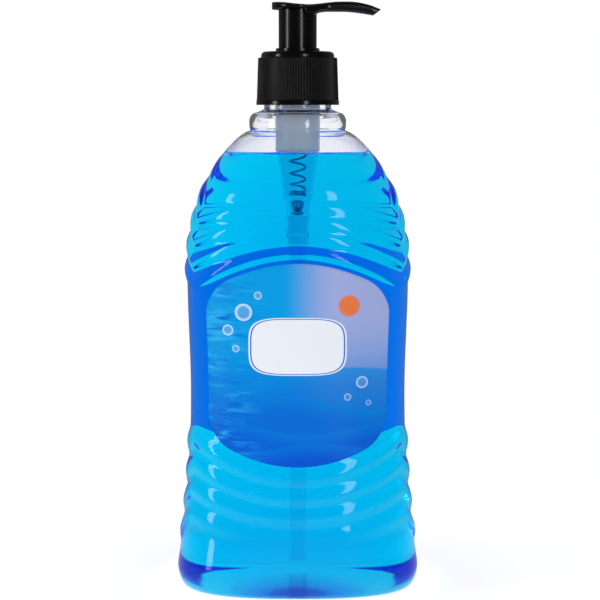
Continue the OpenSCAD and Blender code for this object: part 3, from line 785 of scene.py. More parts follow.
    def label_grid(self, grow: float, rows: int = 72, columns: int = 112) -> Array:
        """Points of the front label, moved out by grow.

        Across, x runs evenly over the label's width. Down, each column runs between the valleys of
        the framing ribs, shortened near the edges by the corner's circle.
        """
        form = self.form
        x = np.linspace(-1.0, 1.0, columns)
        x = self.label_w * np.sin(x * math.pi / 2 * 0.96) / math.sin(math.pi / 2 * 0.96)
        cos = np.sign(x) * (np.abs(x) / form.waist_w) ** (form.plan_power / 2)
        a = (2 * math.pi - np.arccos(cos))[None, :]
        over = np.maximum(0.0, np.abs(x) - (self.label_w - self.label_corner))
        into_corner = np.minimum(over, self.label_corner * 0.999)
        cut = self.label_corner - np.sqrt(self.label_corner ** 2 - into_corner ** 2)
        low = form.lower_line(a, -0.5) + self.label_gap + cut
        high = form.upper_line(a, -0.5) - self.label_gap - cut
        t = np.linspace(0.0, 1.0, rows)[:, None]
        return form.wall(a, mix(low, high, t), grow)

    def build_label(self, name: str, side: Side, finish: bpy.types.Material) -> bpy.types.Object:
        """Builds a label as a thin closed sheet that lies on the wall.

        The face and the back are the same grid at two distances, joined round the edge.

        Args:
            name: the piece's name, and the node it stands for.
            side: the face of the bottle.
            finish: the printed film.
        """
        under, over = self.label_grid(0.06), self.label_grid(0.06 + self.label_t)
        m, n = under.shape[:2]
        i, j = np.arange(m - 1)[:, None], np.arange(n - 1)[None, :]
        corner = i * n + j
        face = np.stack([corner, corner + 1, corner + n + 1, corner + n], axis=-1).reshape(-1, 4)
        edge = np.concatenate([np.arange(n), np.arange(1, m) * n + n - 1,
                               (m - 1) * n + np.arange(n - 2, -1, -1), np.arange(m - 2, 0, -1) * n])
        after = np.roll(edge, -1)
        rim = np.stack([edge, after, after + m * n, edge + m * n], axis=-1)
        points = np.concatenate([under.reshape(-1, 3), over.reshape(-1, 3)])
        c, s = math.cos(side.value), math.sin(side.value)
        points = points @ np.array([[c, s, 0], [-s, c, 0], [0, 0, 1]])
        skin = Skin()
        skin.add(points, np.concatenate([face[:, ::-1], face + m * n, rim]))
        label = skin.build(name + "_film")
        dress(label, finish)
        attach(label, "bottle_body")
        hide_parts(name)
        return label


@dataclass(frozen=True)
class PrintedFilm:
    """Polypropylene film, printed and laminated: saturated inks under a thin gloss that passes light."""

    name: str = "printed_pp_film"
    deep: str = "#0050d2"
    mid: str = "#0068dc"
    cyan: str = "#00a0ea"
    pale: str = "#a4b0e4"
    white: str = "#f0f5fc"
    glow: str = "#40ccff"
    plain: bool = False
    plaque_z: float = 98.0
    plaque_w: float = 18.5
    plaque_h: float = 11.0
    swells: tuple[tuple[float, float, float, float, str], ...] = (
        (87.0, 3.4, 62.0, 0.4, "#0080de"), (77.0, 3.0, 74.0, 2.2, "#006cd8"),
        (67.5, 2.6, 88.0, 4.4, "#005cd6"), (59.5, 2.0, 96.0, 0.9, "#0050d6"))
    streaks: tuple[tuple[float, str], ...] = ((0.0, "#0060d4"), (7.0, "#2cb4f4"))
    discs: tuple[tuple[float, float, float, float, str], ...] = (
        (19.5, 113.5, 4.2, 0.95, "#f07828"), (-20.5, 111.0, 3.4, 0.1, "#e6f6ff"),
        (-26.5, 104.0, 2.2, 0.1, "#e6f6ff"), (-15.0, 117.5, 1.6, 0.1, "#e6f6ff"),
        (-23.5, 97.0, 1.5, 0.1, "#e6f6ff"), (24.5, 84.0, 2.4, 0.1, "#c8ecff"),
        (19.0, 78.5, 1.5, 0.1, "#c8ecff"), (27.0, 76.0, 1.2, 0.1, "#c8ecff"))

    def build(self) -> bpy.types.Material:
        """Returns the material, painted by the place on the bottle's face."""
        material, tree = new_tree(self.name)
        colour = self.field(tree) if not self.plain else self.plain_field(tree)
        shader = add_node(tree, "BsdfPrincipled", {
            "Base Color": colour, "Roughness": 0.35, "IOR": 1.45, "Specular IOR Level": 0.1})
        glow = add_node(tree, "BsdfTranslucent", {"Color": linear(self.glow) if self.plain else colour})
        both = add_node(tree, "MixShader", {0: 0.92 if self.plain else 0.05, 1: shader, 2: glow})
        add_node(tree, "OutputMaterial", {"Surface": both})
        return material

    def plain_field(self, tree: bpy.types.NodeTree) -> bpy.types.Node:
        """Returns a blue with a slow cloud in it."""
        place = add_node(tree, "TexCoord").outputs["Object"]
        cloud = add_node(tree, "TexNoise", {"Vector": place, "Scale": 18.0, "Detail": 1.0})
        return add_node(tree, "Mix", {"Factor": cloud, 6: linear("#0078e6"), 7: linear("#1288ec")},
                        data_type="RGBA")

    def field(self, tree: bpy.types.NodeTree) -> bpy.types.Node:
        """Returns the front design: a sea under a pale sky with a sun, bubbles and a blank white plaque.

        Each motif is a level of x and z, turned into a mask by a narrow ramp, that lays its colour
        over what lies under it.
        """
        place = add_node(tree, "TexCoord").outputs["Object"]
        axes = add_node(tree, "SeparateXYZ", {"Vector": place})
        x, z = axes.outputs["X"], axes.outputs["Z"]
        soft = {"interpolation_type": "SMOOTHSTEP"}
        colour = {"data_type": "RGBA"}
        up = add_node(tree, "MapRange", {"Value": z, "From Min": 0.066, "From Max": 0.114}, **soft)
        right = add_node(tree, "MapRange", {"Value": x, "From Min": -0.006, "From Max": 0.016}, **soft)
        left = add_node(tree, "MapRange", {"Value": x, "From Min": -0.034, "From Max": -0.008, "To Min": 1.0,
                                           "To Max": 0.0}, **soft)
        sea = add_node(tree, "Mix", {"Factor": up, 6: linear(self.deep), 7: linear(self.cyan)}, **colour)
        sky = add_node(tree, "Mix", {"Factor": right, 6: linear(self.cyan), 7: linear(self.pale)}, **colour)
        ground = add_node(tree, "Mix", {"Factor": up, 6: sea, 7: sky}, **colour)
        # Swells: a line of heights bent by a sine of x, with a darker body and a light upper edge
        for level, reach, waves, shift, tone in self.swells:
            bend = add_node(tree, "Math", {0: x, 1: waves, 2: shift}, operation="MULTIPLY_ADD")
            bend = add_node(tree, "Math", {0: bend}, operation="SINE")
            crest = add_node(tree, "Math", {0: bend, 1: reach * MM, 2: level * MM}, operation="MULTIPLY_ADD")
            under = add_node(tree, "Math", {0: crest, 1: z}, operation="SUBTRACT")
            body = add_node(tree, "MapRange", {"Value": under, "From Min": 0.0, "From Max": 0.0012,
                                               "To Max": 0.8}, **soft)
            light = add_node(tree, "MapRange", {"Value": under, "From Min": 0.0005, "From Max": 0.008,
                                                "To Min": 0.35, "To Max": 0.0}, **soft)
            light = add_node(tree, "Math", {0: light, 1: body}, operation="MULTIPLY")
            ground = add_node(tree, "Mix", {"Factor": body, 6: ground, 7: linear(tone)}, **colour)
            ground = add_node(tree, "Mix", {"Factor": light, 6: ground, 7: linear(self.cyan)}, **colour)
        # Streaks: two layers of noise drawn out along a slope, which fade to the right
        for shift, tone in self.streaks:
            drawn = add_node(tree, "Mapping", {"Vector": place, "Location": (shift, 0.0, shift),
                                               "Rotation": (0.0, 0.6, 0.0), "Scale": (60.0, 60.0, 420.0)})
            streaks = add_node(tree, "TexNoise",
                               {"Vector": drawn, "Scale": 1.0, "Detail": 4.0, "Distortion": 0.8})
            streaks = add_node(tree, "MapRange",
                               {"Value": streaks, "From Min": 0.47, "From Max": 0.68}, **soft)
            streaks = add_node(tree, "Math", {0: streaks, 1: left}, operation="MULTIPLY")
            ground = add_node(tree, "Mix", {"Factor": streaks, 6: ground, 7: linear(tone)}, **colour)
        # Discs: the sun, and bubbles that are bright at their rim
        for disc_x, disc_z, r, middle, tone in self.discs:
            centre = (disc_x * MM, 0.0, disc_z * MM)
            flat = add_node(tree, "VectorMath", {0: place, 1: (1.0, 0.0, 1.0)}, operation="MULTIPLY")
            far = add_node(tree, "VectorMath", {0: flat, 1: centre}, operation="DISTANCE").outputs["Value"]
            inside = add_node(tree, "MapRange", {"Value": far, "From Min": (r - 0.25) * MM,
                                                 "From Max": r * MM, "To Min": 1.0, "To Max": 0.0}, **soft)
            rim = add_node(tree, "MapRange", {"Value": far, "From Min": r * 0.5 * MM, "From Max": r * MM,
                                              "To Min": middle, "To Max": 0.85}, **soft)
            mask = add_node(tree, "Math", {0: inside, 1: rim}, operation="MULTIPLY")
            ground = add_node(tree, "Mix", {"Factor": mask, 6: ground, 7: linear(tone)}, **colour)
        # Plaque: a blank superellipse of the 4th power with a thin blue line inside its edge
        offset = add_node(tree, "VectorMath", {0: place, 1: (0.0, 0.0, self.plaque_z * MM)},
                          operation="SUBTRACT")
        per_size = (1 / (self.plaque_w * MM), 0.0, 1 / (self.plaque_h * MM))
        scaled = add_node(tree, "VectorMath", {0: offset, 1: per_size}, operation="MULTIPLY")
        square = add_node(tree, "VectorMath", {0: scaled, 1: scaled}, operation="MULTIPLY")
        level = add_node(tree, "VectorMath", {0: square, 1: square}, operation="DOT_PRODUCT").outputs["Value"]
        edge = add_node(tree, "MapRange", {"Value": level, "From Min": 1.0, "From Max": 1.06, "To Min": 1.0,
                                           "To Max": 0.0})
        ground = add_node(tree, "Mix", {"Factor": edge, 6: ground, 7: linear(self.white)}, **colour)
        outer = add_node(tree, "MapRange", {"Value": level, "From Min": 0.78, "From Max": 0.82})
        inner = add_node(tree, "MapRange", {"Value": level, "From Min": 0.88, "From Max": 0.92, "To Min": 1.0,
                                            "To Max": 0.0})
        line = add_node(tree, "Math", {0: outer, 1: inner}, operation="MULTIPLY")
        return add_node(tree, "Mix", {"Factor": line, 6: ground, 7: linear(self.mid)}, **colour)


# Pump


@dataclass
class Closure:
    """The ribbed screw cap."""

    foot_z: float = 189.0
    ceiling_z: float = 209.8
    guide_z: float = 208.2
    rim_z: float = 205.0
    skirt_r: float = 16.0
    top_r: float = 15.4
    ribs: int = 90
    rib_depth: float = 0.45
    band_h: float = 1.6
    bore: float = 14.05
    thread_crest: float = 13.0
    pitch: float = 4.233
    turns: float = 1.5
    thread_top: float = 199.8835
    hole: float = 8.8

    def build(self, finish: bpy.types.Material, polished: bpy.types.Material) -> bpy.types.Object:
        """Builds the cap: a turned profile whose skirt is drawn in between the grip ribs.

        The radius at angle a on the skirt is the profile's, less the rib's depth times a smooth
        groove: the cosine of ribs times a, sharpened by a power.

        Args:
            finish: the grip.
            polished: the bands over and under it, where the mould is polished.
        """
        rib_top = self.ceiling_z - 2.6
        low = self.foot_z + self.band_h
        outer = [(self.bore + 0.5, self.foot_z), (self.skirt_r + 0.15, self.foot_z),
                 (self.skirt_r + 0.15, low),
                 (self.skirt_r - 0.05, low + 0.15), (self.top_r, rib_top), (self.top_r - 1.1, rib_top + 0.1),
                 (self.top_r - 1.2, rib_top + 1.3), (self.top_r - 1.6, rib_top + 2.0),
                 (self.top_r - 2.4, rib_top + 2.4), (self.hole + 0.5, self.ceiling_z),
                 (self.hole, self.ceiling_z - 0.1)]
        inner = [(self.hole, self.guide_z), (13.0, self.guide_z), (13.0, self.rim_z - 1),
                 (self.bore, self.rim_z - 2.2), (self.bore, self.foot_z + 0.6)]
        profile = eased_corners(outer + inner, 0.22, 3)
        near = np.array([0.35, 0.45, 0.6])
        stretch = np.concatenate([low + near, np.linspace(low + 0.9, rib_top - 0.9, 8), rib_top - near[::-1]])
        at = int(np.argmax((profile[:, 1] > rib_top - 0.5) & (profile[:, 0] > self.top_r - 0.3)))
        sides = np.stack([np.interp(stretch, [low, rib_top], [self.skirt_r - 0.05, self.top_r]), stretch],
                         axis=-1)
        profile = np.concatenate([profile[:at], sides, profile[at:]])
        rings = revolved(profile, self.ribs * 8)
        a = np.linspace(0.0, 2 * math.pi, self.ribs * 8, endpoint=False)
        groove = np.clip(0.5 + 0.5 * np.cos(self.ribs * a), 0, 1) ** 1.6
        on = ((profile[:, 1] > low + 0.3) & (profile[:, 1] < rib_top - 0.25)
              & (profile[:, 0] > self.top_r - 0.3))
        r = np.maximum(profile[:, 0], 0.1)
        scale = 1 - (on * self.rib_depth / r)[:, None] * groove[None, :]
        rings[..., :2] *= scale[..., None]
        skin = Skin()
        skin.rings(rings, looped=True)
        section = eased_corners([(self.bore + 0.3, -0.95), (self.thread_crest, -0.45),
                                 (self.thread_crest, 0.45), (self.bore + 0.3, 0.95)], 0.2, 3)
        turn = math.radians(37)
        end = turn + 2 * math.pi * self.turns
        r, top, low_z = self.bore + 0.3, self.thread_top, self.thread_top - self.pitch * self.turns
        skin.rings(ridge_rings(turn, self.turns, top, self.pitch, section),
                   poles=((r * math.cos(turn), r * math.sin(turn), low_z),
                          (r * math.cos(end), r * math.sin(end), top)))
        cap = skin.build("screw_cap")
        dress(cap, finish)
        dress_part(cap, polished, lambda place: (place[:, 2] < low + 0.2) | (place[:, 2] > rib_top + 0.05))
        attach(cap, "closure_body")
        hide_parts("closure")
        return cap


@dataclass
class Pump:
    """The pump under the head: collar, housing, tube, spring and what slides in them."""

    rim_z: float = 205.0
    flange_z: float = 207.0
    gasket_z: float = 206.0
    guide_z: float = 208.2
    ring_top: float = 210.9
    cup_z: float = 194.5
    cup_r: float = 8.2
    bore_r: float = 7.8
    housing_r: float = 8.75
    shoulder_z: float = 172.0
    seat_z: float = 152.5
    end_z: float = 136.0
    tube_r: float = 3.25
    tube_wall: float = 0.75
    tube_z: float = 9.7
    tube_top: float = 143.9
    flange_r: float = 12.7
    stem_r: float = 3.6
    spring_r: float = 2.7
    wire_r: float = 0.4
    spring_turns: float = 9.0
    spring_top: float = 185.25
    stroke: float = 11.0
    soap_z: float = 170.3

    def pocket(self) -> Array:
        """The pump's outline under the soap's surface, a twentieth of a millimetre off its wall.

        It goes from the surface down to the tube's foot and up the tube's bore, which is full too.
        """
        inset = -0.05
        def r(z: float) -> float:
            """Radius of the housing's outside at a height, in mm."""
            return float(np.interp(z, [self.seat_z, self.shoulder_z - 4, self.shoulder_z],
                                   [5.2, self.housing_r - 1.9, self.housing_r]))

        points = [(r(170.5) - inset, 170.5), (r(168.0) - inset, 168.0), (r(160.0) - inset, 160.0),
                  (5.2 - inset, self.seat_z), (5.2 - inset, self.seat_z - 2.9),
                  (4.2 - inset, self.seat_z - 3.05),
                  (4.2 - inset, self.end_z + 0.1), (self.tube_r - inset, self.end_z + 0.05),
                  (self.tube_r - inset, 90.0), (self.tube_r - inset, 40.0),
                  (self.tube_r - inset, self.tube_z + inset),
                  (self.tube_r - self.tube_wall + inset, self.tube_z + inset),
                  (self.tube_r - self.tube_wall + inset, 40.0), (self.tube_r - self.tube_wall + inset, 90.0),
                  (self.tube_r - self.tube_wall + inset, self.tube_top - 0.4), (1.4, self.tube_top - 0.3),
                  (1.4, self.tube_top + 0.6)]
        return np.array(points)

    def turned(self, name: str, node: str, body: str, profile: list[tuple[float, float]],
               finish: bpy.types.Material, ease: float = 0.2) -> bpy.types.Object:
        """Builds a turned piece from a closed profile with eased corners and seats it in the frame."""
        skin = Skin()
        skin.rings(revolved(eased_corners(profile, ease, 3), 128), looped=True)
        piece = skin.build(name)
        dress(piece, finish)
        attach(piece, body)
        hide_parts(node)
        return piece

    def build_collar(self, finish: bpy.types.Material) -> bpy.types.Object:
        """Builds the collar: a ring through the cap, a flange under it and a cup with the stem's guide."""
        guide = self.stem_r + 0.15
        profile = [(guide, self.cup_z - 1.2), (self.cup_r - 0.05, self.cup_z - 1.2),
                   (self.cup_r - 0.05, self.flange_z), (self.flange_r, self.flange_z),
                   (self.flange_r, self.guide_z), (8.5, self.guide_z), (8.5, self.ring_top),
                   (self.cup_r - 0.5, self.ring_top), (self.cup_r - 0.5, self.cup_z),
                   (self.stem_r + 1, self.cup_z), (self.stem_r + 1, self.cup_z + 4), (guide, self.cup_z + 4)]
        return self.turned("guide_collar", "collar", "pump_body", profile, finish)

    def build_housing(self, finish: bpy.types.Material, wetted: bpy.types.Material) -> bpy.types.Object:
        """Builds the milky cylinder: flange, chamber, cone, ball cage and tube socket in one profile.

        Args:
            finish: the plastic over the soap.
            wetted: the plastic under the soap's level.
        """
        ball_seat = 145.0 - 0.05
        step = self.housing_r - 1.9
        outside = [(self.flange_r, self.gasket_z), (self.flange_r, self.flange_z),
                   (self.cup_r, self.flange_z),
                   (self.cup_r, self.cup_z - 1.7), (self.bore_r, self.cup_z - 2.2),
                   (self.bore_r, self.shoulder_z - 0.6), (step - 0.9, self.shoulder_z - 4.2),
                   (4.2, self.seat_z), (2.0, self.seat_z), (2.0, self.seat_z - 1.5), (2.8, self.seat_z - 1.5),
                   (2.8, ball_seat + 1.4), (1.4, ball_seat), (1.4, self.tube_top + 0.05),
                   (3.3, self.tube_top + 0.05), (3.3, self.end_z), (4.2, self.end_z), (4.2, self.seat_z - 3),
                   (5.2, self.seat_z - 3), (5.2, self.seat_z), (step, self.shoulder_z - 4),
                   (self.housing_r, self.shoulder_z), (self.housing_r, self.gasket_z)]
        housing = self.turned("pump_cylinder", "pump_housing", "pump_body", outside, finish)
        dress_part(housing, wetted, lambda place: place[:, 2] < self.soap_z)
        return housing

    def build_tube(self, finish: bpy.types.Material) -> bpy.types.Object:
        """Builds the dip tube."""
        profile = [(self.tube_r - self.tube_wall, self.tube_z), (self.tube_r, self.tube_z),
                   (self.tube_r, self.tube_top), (self.tube_r - self.tube_wall, self.tube_top)]
        return self.turned("suction_tube", "dip_tube", "pump_body", profile, finish)

    def build_spring(self, finish: bpy.types.Material) -> bpy.types.Object:
        """Builds the return spring: a round wire along a helix whose end turns lie closed.

        Height against turns is level steps of one wire for the first and last turn, and even
        between them.
        """
        turns, wire = self.spring_turns, self.wire_r
        low, high = self.seat_z + wire + 0.05, self.spring_top - wire
        closed = 2 * wire + 0.05
        t = np.linspace(0.0, turns, int(turns * 36) + 1)
        z = np.interp(t, [0, 1, turns - 1, turns], [low, low + closed, high - closed, high])
        a = 2 * math.pi * t
        b = -np.linspace(0.0, 2 * math.pi, 12, endpoint=False)[None, :]
        r = self.spring_r + wire * np.cos(b)
        rings = np.stack([r * np.cos(a)[:, None], r * np.sin(a)[:, None], z[:, None] + wire * np.sin(b)],
                         axis=-1)
        centre = np.stack([self.spring_r * np.cos(a), self.spring_r * np.sin(a), z], axis=-1)
        skin = Skin()
        skin.rings(rings, poles=(centre[0], centre[-1]))
        spring = skin.build("return_coil")
        dress(spring, finish)
        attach(spring, "pump_body")
        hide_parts("return_spring")
        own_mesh(spring)
        return spring


@dataclass
class Head:
    """The pump head: a crowned finger rest that runs out into the nozzle, on a skirt."""

    top: float = 228.88
    foot: float = 209.5
    rest_r: float = 10.0
    reach: float = 32.3
    root_w: float = 5.0
    tip_w: float = 3.2
    thick: float = 3.9
    thick_rest: float = 3.3
    skirt_r: float = 7.4
    wall: float = 1.0
    stem_r: float = 3.6
    channel_r: float = 1.1
    bend: float = math.radians(15.0)
    stations: int = 90
    sides: int = 56
    power: float = 3.0

    def half_w(self, x: Array) -> Array:
        """Half width in plan: a circle behind the axis, easing into the nozzle's taper before it."""
        back = np.sqrt(np.maximum(0.0, self.rest_r ** 2 - np.minimum(x, 0.0) ** 2))
        neck = mix(self.rest_r, self.root_w, smooth(share(x, 0.0, self.rest_r * 1.3)))
        return np.where(x < 0, back, mix(neck, self.tip_w, share(x, self.rest_r, self.reach)))

    def saddle(self, x: Array) -> Array:
        """Height of the top: a shallow dip for the finger, and a fall towards the tip."""
        dip = 1.1 * np.sin(math.pi * share(x, -self.rest_r, self.rest_r * 1.7)) ** 2
        return self.top - dip - 3.0 * share(x, self.reach * 0.6, self.reach) ** 2

    def under(self, x: Array) -> Array:
        """Height of the underside: a fillet leads it out of the skirt, and it droops to the tip's lip."""
        plate = self.top - mix(self.thick_rest, self.thick, smooth(share(x, self.skirt_r, self.rest_r)))
        fillet = 2.4 * (1 - share(x, self.skirt_r - 1, self.skirt_r + 3.5)) ** 2 * (x > 3)
        droop = 1.4 * share(x, self.reach * 0.55, self.reach * 0.9) ** 1.5
        return plate - fillet - droop + 2.0 * share(x, self.reach * 0.9, self.reach) ** 1.2

    def build(self, finish: bpy.types.Material) -> bpy.types.Object:
        """Builds the head: a skin of superellipse sections along the nozzle, with the hole at its tip."""
        t = np.linspace(0.0, 1.0, self.stations) ** 1.15
        t = np.concatenate([[0.0004, 0.0016, 0.004, 0.008], t[1:]])
        x = mix(-self.rest_r, self.reach, t)[:, None]
        b = (2 * math.pi * (np.arange(self.sides) + 0.5) / self.sides)[None, :]
        top, low, w = self.saddle(x), self.under(x), self.half_w(x)
        edge = np.sqrt(np.where(x < -6, np.clip(w / self.rest_r, 0.0, 1.0), 1.0))
        y = w * arm(np.cos(b), self.power)
        z = mix(low, top, 0.5 + 0.5 * arm(np.sin(b), self.power) * np.minimum(1.0, 0.7 + 0.3 * edge))
        rings = np.stack(np.broadcast_arrays(x, y, z), axis=-1)
        rings = rings[rings[:, 0, 0] < self.reach * 0.9]
        # The end slants: its ring runs from the tip of the top to the lip of the underside
        v = 0.5 + 0.5 * arm(np.sin(b[0]), self.power)
        lip_x, lip_z = self.reach * 0.9 + 0.2, float(self.under(np.array(self.reach * 0.9)))
        tip_x, tip_z = self.reach, float(self.saddle(np.array(self.reach)))
        end = np.stack([mix(lip_x, tip_x, v), self.tip_w * arm(np.cos(b[0]), self.power),
                        mix(lip_z, tip_z, v)], axis=-1)
        last = rings[-1]
        middle = np.array([(lip_x + tip_x) / 2, 0.0, (lip_z + tip_z) / 2])
        slope = np.array([tip_x - lip_x, 0.0, tip_z - lip_z])
        slope /= np.linalg.norm(slope)
        hole = middle + self.channel_r * (np.cos(b[0])[:, None] * np.array([0, 1, 0])
                                          + np.sin(b[0])[:, None] * slope)
        inward = np.array([-math.cos(self.bend), 0.0, math.sin(self.bend)])
        deep = hole + inward * 5.0
        blend = [mix(last, end, s) for s in (0.4, 0.75, 0.93, 1.0)]
        mouth = [mix(end, hole, s) for s in (0.08, 0.5, 0.92, 1.0)]
        rings = np.concatenate([rings, np.stack(blend + mouth + [hole + inward * 0.3, deep])])
        skin = Skin()
        back = (-self.rest_r, 0.0, float(rings[0, :, 2].mean()))
        skin.rings(rings, poles=(back, tuple(deep.mean(axis=0))))
        skin.rings(revolved(eased_corners(self.skirt_profile(), 0.35, 4), 128), looped=True)
        skin.rings(revolved(eased_corners(self.socket_profile(), 0.2, 3), 64), looped=True)
        head = skin.build("pump_head")
        dress(head, finish)
        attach(head, "head")
        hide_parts("actuator")
        return head

    def skirt_profile(self) -> list[tuple[float, float]]:
        """Outline of the skirt, which runs up into the finger rest."""
        inner = self.skirt_r - self.wall
        near, far = self.foot + 0.8, self.top - 3.4
        return [(inner, self.foot), (self.skirt_r, self.foot), (self.skirt_r, near), (self.skirt_r, far),
                (self.skirt_r, self.top - 2.4), (0.6, self.top - 2.4), (0.6, self.top - 3.2),
                (inner, self.top - 3.2)]

    def socket_profile(self) -> list[tuple[float, float]]:
        """Outline of the tube inside the head that takes the stem."""
        low = self.top - 15.0
        bore = self.stem_r + 0.05
        return [(bore, low), (bore + 1.45, low), (bore + 1.45, self.top - 3.0), (2.2, self.top - 3.0),
                (2.2, self.top - 7.0), (bore, self.top - 7.0)]


@dataclass
class Studio:
    """Camera, pale floor, lights and surroundings."""

    lens: float = 114.8
    eye: tuple[float, float, float] = (0.9, -750.0, 189.0)
    tilt: float = 5.82
    side_glow: tuple[float, float, float, float] = (0.62, 0.74, 1.15, 1.0)

    def build_camera(self) -> None:
        """Places the camera at the photograph's view: level with the shoulder, tilted down."""
        data = bpy.data.cameras.new("camera")
        data.lens, data.sensor_width = self.lens, 36.0
        camera = bpy.data.objects.new("camera", data)
        camera.location = [v * MM for v in self.eye]
        camera.rotation_euler = (math.radians(90 - self.tilt), 0.0, 0.0)
        bpy.context.scene.collection.objects.link(camera)
        bpy.context.scene.camera = camera

    def strip(self, name: str, turn: float, away: float, size: tuple[float, float], power: float,
              height: float = 0.2) -> None:
        """Adds a soft light that faces the bottle's middle.

        Args:
            name: the lamp's name.
            turn: degrees about the bottle from the front, to the right.
            away: metres from the bottle's axis.
            size: width and height in metres.
            power: watts.
            height: metres over the floor.
        """
        data = bpy.data.lights.new(name, "AREA")
        data.shape, data.size, data.size_y, data.energy = "RECTANGLE", size[0], size[1], power
        lamp = bpy.data.objects.new(name, data)
        angle = math.radians(turn)
        lamp.location = (away * math.sin(angle), -away * math.cos(angle), height)
        lamp.rotation_euler = (math.pi / 2 - math.atan2(height - 0.12, away), 0.0, angle)
        lamp.visible_camera = False
        bpy.context.scene.collection.objects.link(lamp)

    def build_floor(self) -> None:
        """Lays the pale floor just under the contact ring: a disc that fades into the white sweep, whose
        emission is a painted glow, brightest round the bottle's foot.
        """
        rings, sides, reach = 24, 96, 700.0
        r = np.linspace(0.0, 1.0, rings + 1)[1:, None] ** 1.5 * reach
        a = np.linspace(0.0, 2 * math.pi, sides, endpoint=False)[None, :]
        points = np.stack([r * np.cos(a), r * np.sin(a), np.full_like(r * a, -0.05)], axis=-1).reshape(-1, 3)
        i, j = np.arange(rings - 1)[:, None], np.arange(sides)[None, :]
        side = (j + 1) % sides
        quads = np.stack([i * sides + j, (i + 1) * sides + j, (i + 1) * sides + side, i * sides + side],
                         axis=-1).reshape(-1, 4)
        fan = np.stack([np.full(sides, len(points)), j[0], side[0]], axis=-1)
        floor = object_from("floor", np.concatenate([points, [[0.0, 0.0, -0.05]]]), quads, fan)
        material, tree = new_tree("white_acrylic_sweep")
        place = add_node(tree, "TexCoord").outputs["Object"]
        cloud = add_node(tree, "TexNoise", {"Vector": place, "Scale": 3.0})
        tone = add_node(tree, "Mix", {"Factor": cloud, 6: linear("#fdfdfd"), 7: linear("#fafafa")},
                        data_type="RGBA")
        far = add_node(tree, "VectorMath", {0: place}, operation="LENGTH").outputs["Value"]
        # Painted glow: the floor's emission is strongest round the bottle's foot and falls off outwards,
        # lifting the shade under and beside the bottle
        lit = add_node(tree, "MapRange", {"Value": far, "From Min": 0.02, "From Max": 0.07, "To Min": 1.0,
                                          "To Max": 0.37}, interpolation_type="SMOOTHSTEP")
        sheet = add_node(tree, "BsdfPrincipled", {"Base Color": tone, "Roughness": 0.6,
                                                  "Specular IOR Level": 0.1, "Emission Color": tone,
                                                  "Emission Strength": lit})
        fade = add_node(tree, "MapRange", {"Value": far, "From Min": 0.06, "From Max": 0.30},
                        interpolation_type="SMOOTHSTEP")
        clear = add_node(tree, "BsdfTransparent")
        both = add_node(tree, "MixShader", {0: fade, 1: sheet, 2: clear})
        add_node(tree, "OutputMaterial", {"Surface": both})
        dress(floor, material)

    def build_surroundings(self) -> None:
        """Lights the set by direction: a bright sweep behind, dark flags in front for the reflections.

        What is seen through the bottle gets a lit sweep that is brighter to the right, and what is
        reflected gets the dark side of the studio, as in a photograph on a lit table.
        """
        world = bpy.data.worlds.new("white_sweep")
        world.use_nodes = True
        world.cycles.sampling_method = "NONE"
        tree = world.node_tree
        tree.nodes.clear()
        way = add_node(tree, "SeparateXYZ", {"Vector": add_node(tree, "TexCoord").outputs["Generated"]})
        soft = {"interpolation_type": "SMOOTHSTEP"}
        ahead = add_node(tree, "MapRange",
                         {"Value": way.outputs["Y"], "From Min": 0.0, "From Max": 0.7}, **soft)
        behind = add_node(tree, "MapRange", {"Value": way.outputs["Y"], "From Min": -0.3, "From Max": -0.95,
                                             "To Max": 0.85}, **soft)
        open_side = add_node(tree, "Math", {0: ahead, 1: behind}, operation="MAXIMUM")
        across = add_node(tree, "MapRange", {"Value": way.outputs["X"], "From Min": -0.5, "From Max": 0.4,
                                             "To Min": 0.96, "To Max": 1.10}, **soft)
        sweep = add_node(tree, "CombineColor", {0: across, 1: across, 2: across})
        through = add_node(tree, "Mix", {"Factor": open_side, 6: self.side_glow, 7: sweep}, data_type="RGBA")
        mirrored = add_node(tree, "MapRange", {"Value": way.outputs["Y"], "From Min": -0.3, "From Max": 0.8,
                                               "To Min": 0.03, "To Max": 0.14}, **soft)
        # A reflection under a clear wall comes out through it: mirrored once, and through it twice
        ray = add_node(tree, "LightPath").outputs
        once = add_node(tree, "Math", {0: ray["Glossy Depth"], 1: 0.5}, operation="GREATER_THAN")
        thin = add_node(tree, "Math", {0: ray["Transmission Depth"], 1: 2.5}, operation="LESS_THAN")
        once = add_node(tree, "Math", {0: once, 1: thin}, operation="MULTIPLY")
        mirrored = add_node(tree, "CombineColor", {0: mirrored, 1: mirrored, 2: mirrored})
        level = (0.7, 0.7, 0.7, 1.0)
        for kind, colour in ((ray["Is Glossy Ray"], mirrored), (ray["Is Transmission Ray"], through),
                             (once, mirrored)):
            level = add_node(tree, "Mix", {"Factor": kind, 6: level, 7: colour}, data_type="RGBA")
        level = add_node(tree, "Mix", {"Factor": ray["Is Camera Ray"], 6: level, 7: (1.0, 1.0, 1.0, 1.0)},
                         data_type="RGBA")
        light = add_node(tree, "Background", {"Color": level, "Strength": 1.0})
        add_node(tree, "OutputWorld", {"Surface": light})
        bpy.context.scene.world = world

    def build(self) -> None:
        """Builds the whole set and its film response."""
        scene = bpy.context.scene
        self.build_camera()
        self.build_floor()
        self.build_surroundings()
        self.strip("left_strip", -66.0, 0.95, (0.16, 0.7), 2.0, 0.28)
        self.strip("right_strip", 23.5, 0.95, (0.14, 0.7), 1.5, 0.28)
        scene.view_settings.view_transform = "Standard"
        scene.view_settings.look = "None"
        scene.cycles.transmission_bounces = 96
        scene.cycles.transparent_max_bounces = 16
        scene.cycles.max_bounces = 96
        scene.cycles.glossy_bounces = 32
        scene.cycles.diffuse_bounces = 4
        scene.cycles.use_denoising = True
        scene.cycles.sample_clamp_indirect = 8.0


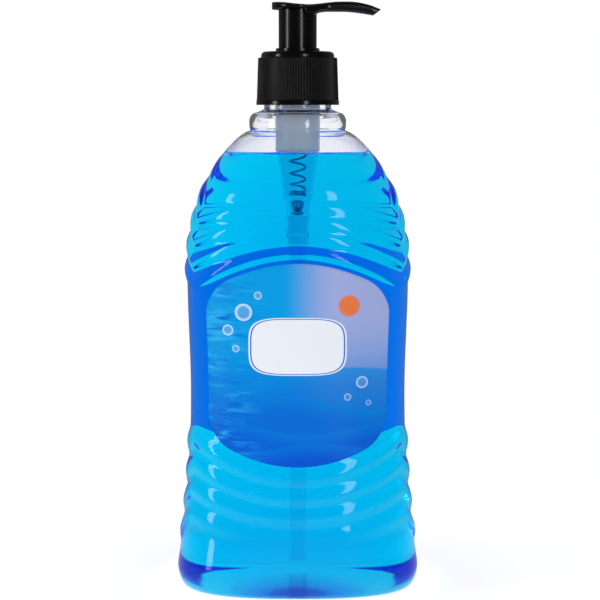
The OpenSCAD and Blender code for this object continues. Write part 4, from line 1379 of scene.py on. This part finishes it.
def dress_kept_nodes(finishes: dict[str, bpy.types.Material]) -> None:
    """Gives the CAD nodes that stay their finish, by the slot listed for each."""
    kept = {"gasket": "foam", "check_ball": "steel", "piston_seal": "white", "piston_stem": "white",
            "piston_core": "white"}
    for node, finish in kept.items():
        dress(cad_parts[node], finishes[finish])


def main() -> None:
    """Builds the sub-assemblies in order and reports each piece."""
    Studio().build()
    log.info("studio set")
    finishes = {
        "pet": ClearPet().build(),
        "wetted": WettedPlastic("clear_blown_pet_wetted").build(),
        "wet_pp": WettedPlastic("natural_pp_wetted", tint="#e2eff7", ior=1.06, roughness=0.06).build(),
        "soap": BlueSoap().build(),
        "pocket": WettedPlastic("dyed_liquid_soap_at_pump").build(),
        "front": PrintedFilm().build(),
        "back": PrintedFilm(name="plain_printed_film", plain=True).build(),
        "satin": MouldedBlack("satin_black_pp", colour="#0a0b0f", roughness=0.38,
                              grain_mm=0.4, level=0.4).build(),
        "gloss": MouldedBlack("gloss_black_pp", colour="#08080b", roughness=0.18,
                              grain_depth_mm=0.002).build(),
        "milky": NaturalPlastic("natural_pp").build(),
        "clear": WettedPlastic("natural_pe_wetted", tint="#f4fafe", ior=1.05, roughness=0.02).build(),
        "white": NaturalPlastic("white_pe", colour="#eef1ee", transmission=0.1, roughness=0.4).build(),
        "foam": NaturalPlastic("foamed_pe", colour="#e4e4de", transmission=0.0, roughness=0.7).build(),
        "steel": SpringSteel().build(),
    }
    bottle, pump = Bottle(), Pump()
    made = [
        bottle.build_shell(finishes["pet"], finishes["wetted"]),
        bottle.build_soap(finishes["soap"], finishes["pocket"], pump.pocket()),
        bottle.build_label("front_label", Side.FRONT, finishes["front"]),
        bottle.build_label("back_label", Side.BACK, finishes["back"]),
        Closure().build(finishes["satin"], finishes["gloss"]),
        pump.build_collar(finishes["gloss"]),
        pump.build_housing(finishes["milky"], finishes["wet_pp"]),
        pump.build_tube(finishes["clear"]),
        pump.build_spring(finishes["steel"]),
        Head().build(finishes["gloss"]),
    ]
    for piece in made:
        log.info("%s: %d faces", piece.name, len(piece.data.polygons))
    dress_kept_nodes(finishes)


if __name__ == "__main__":
    main()
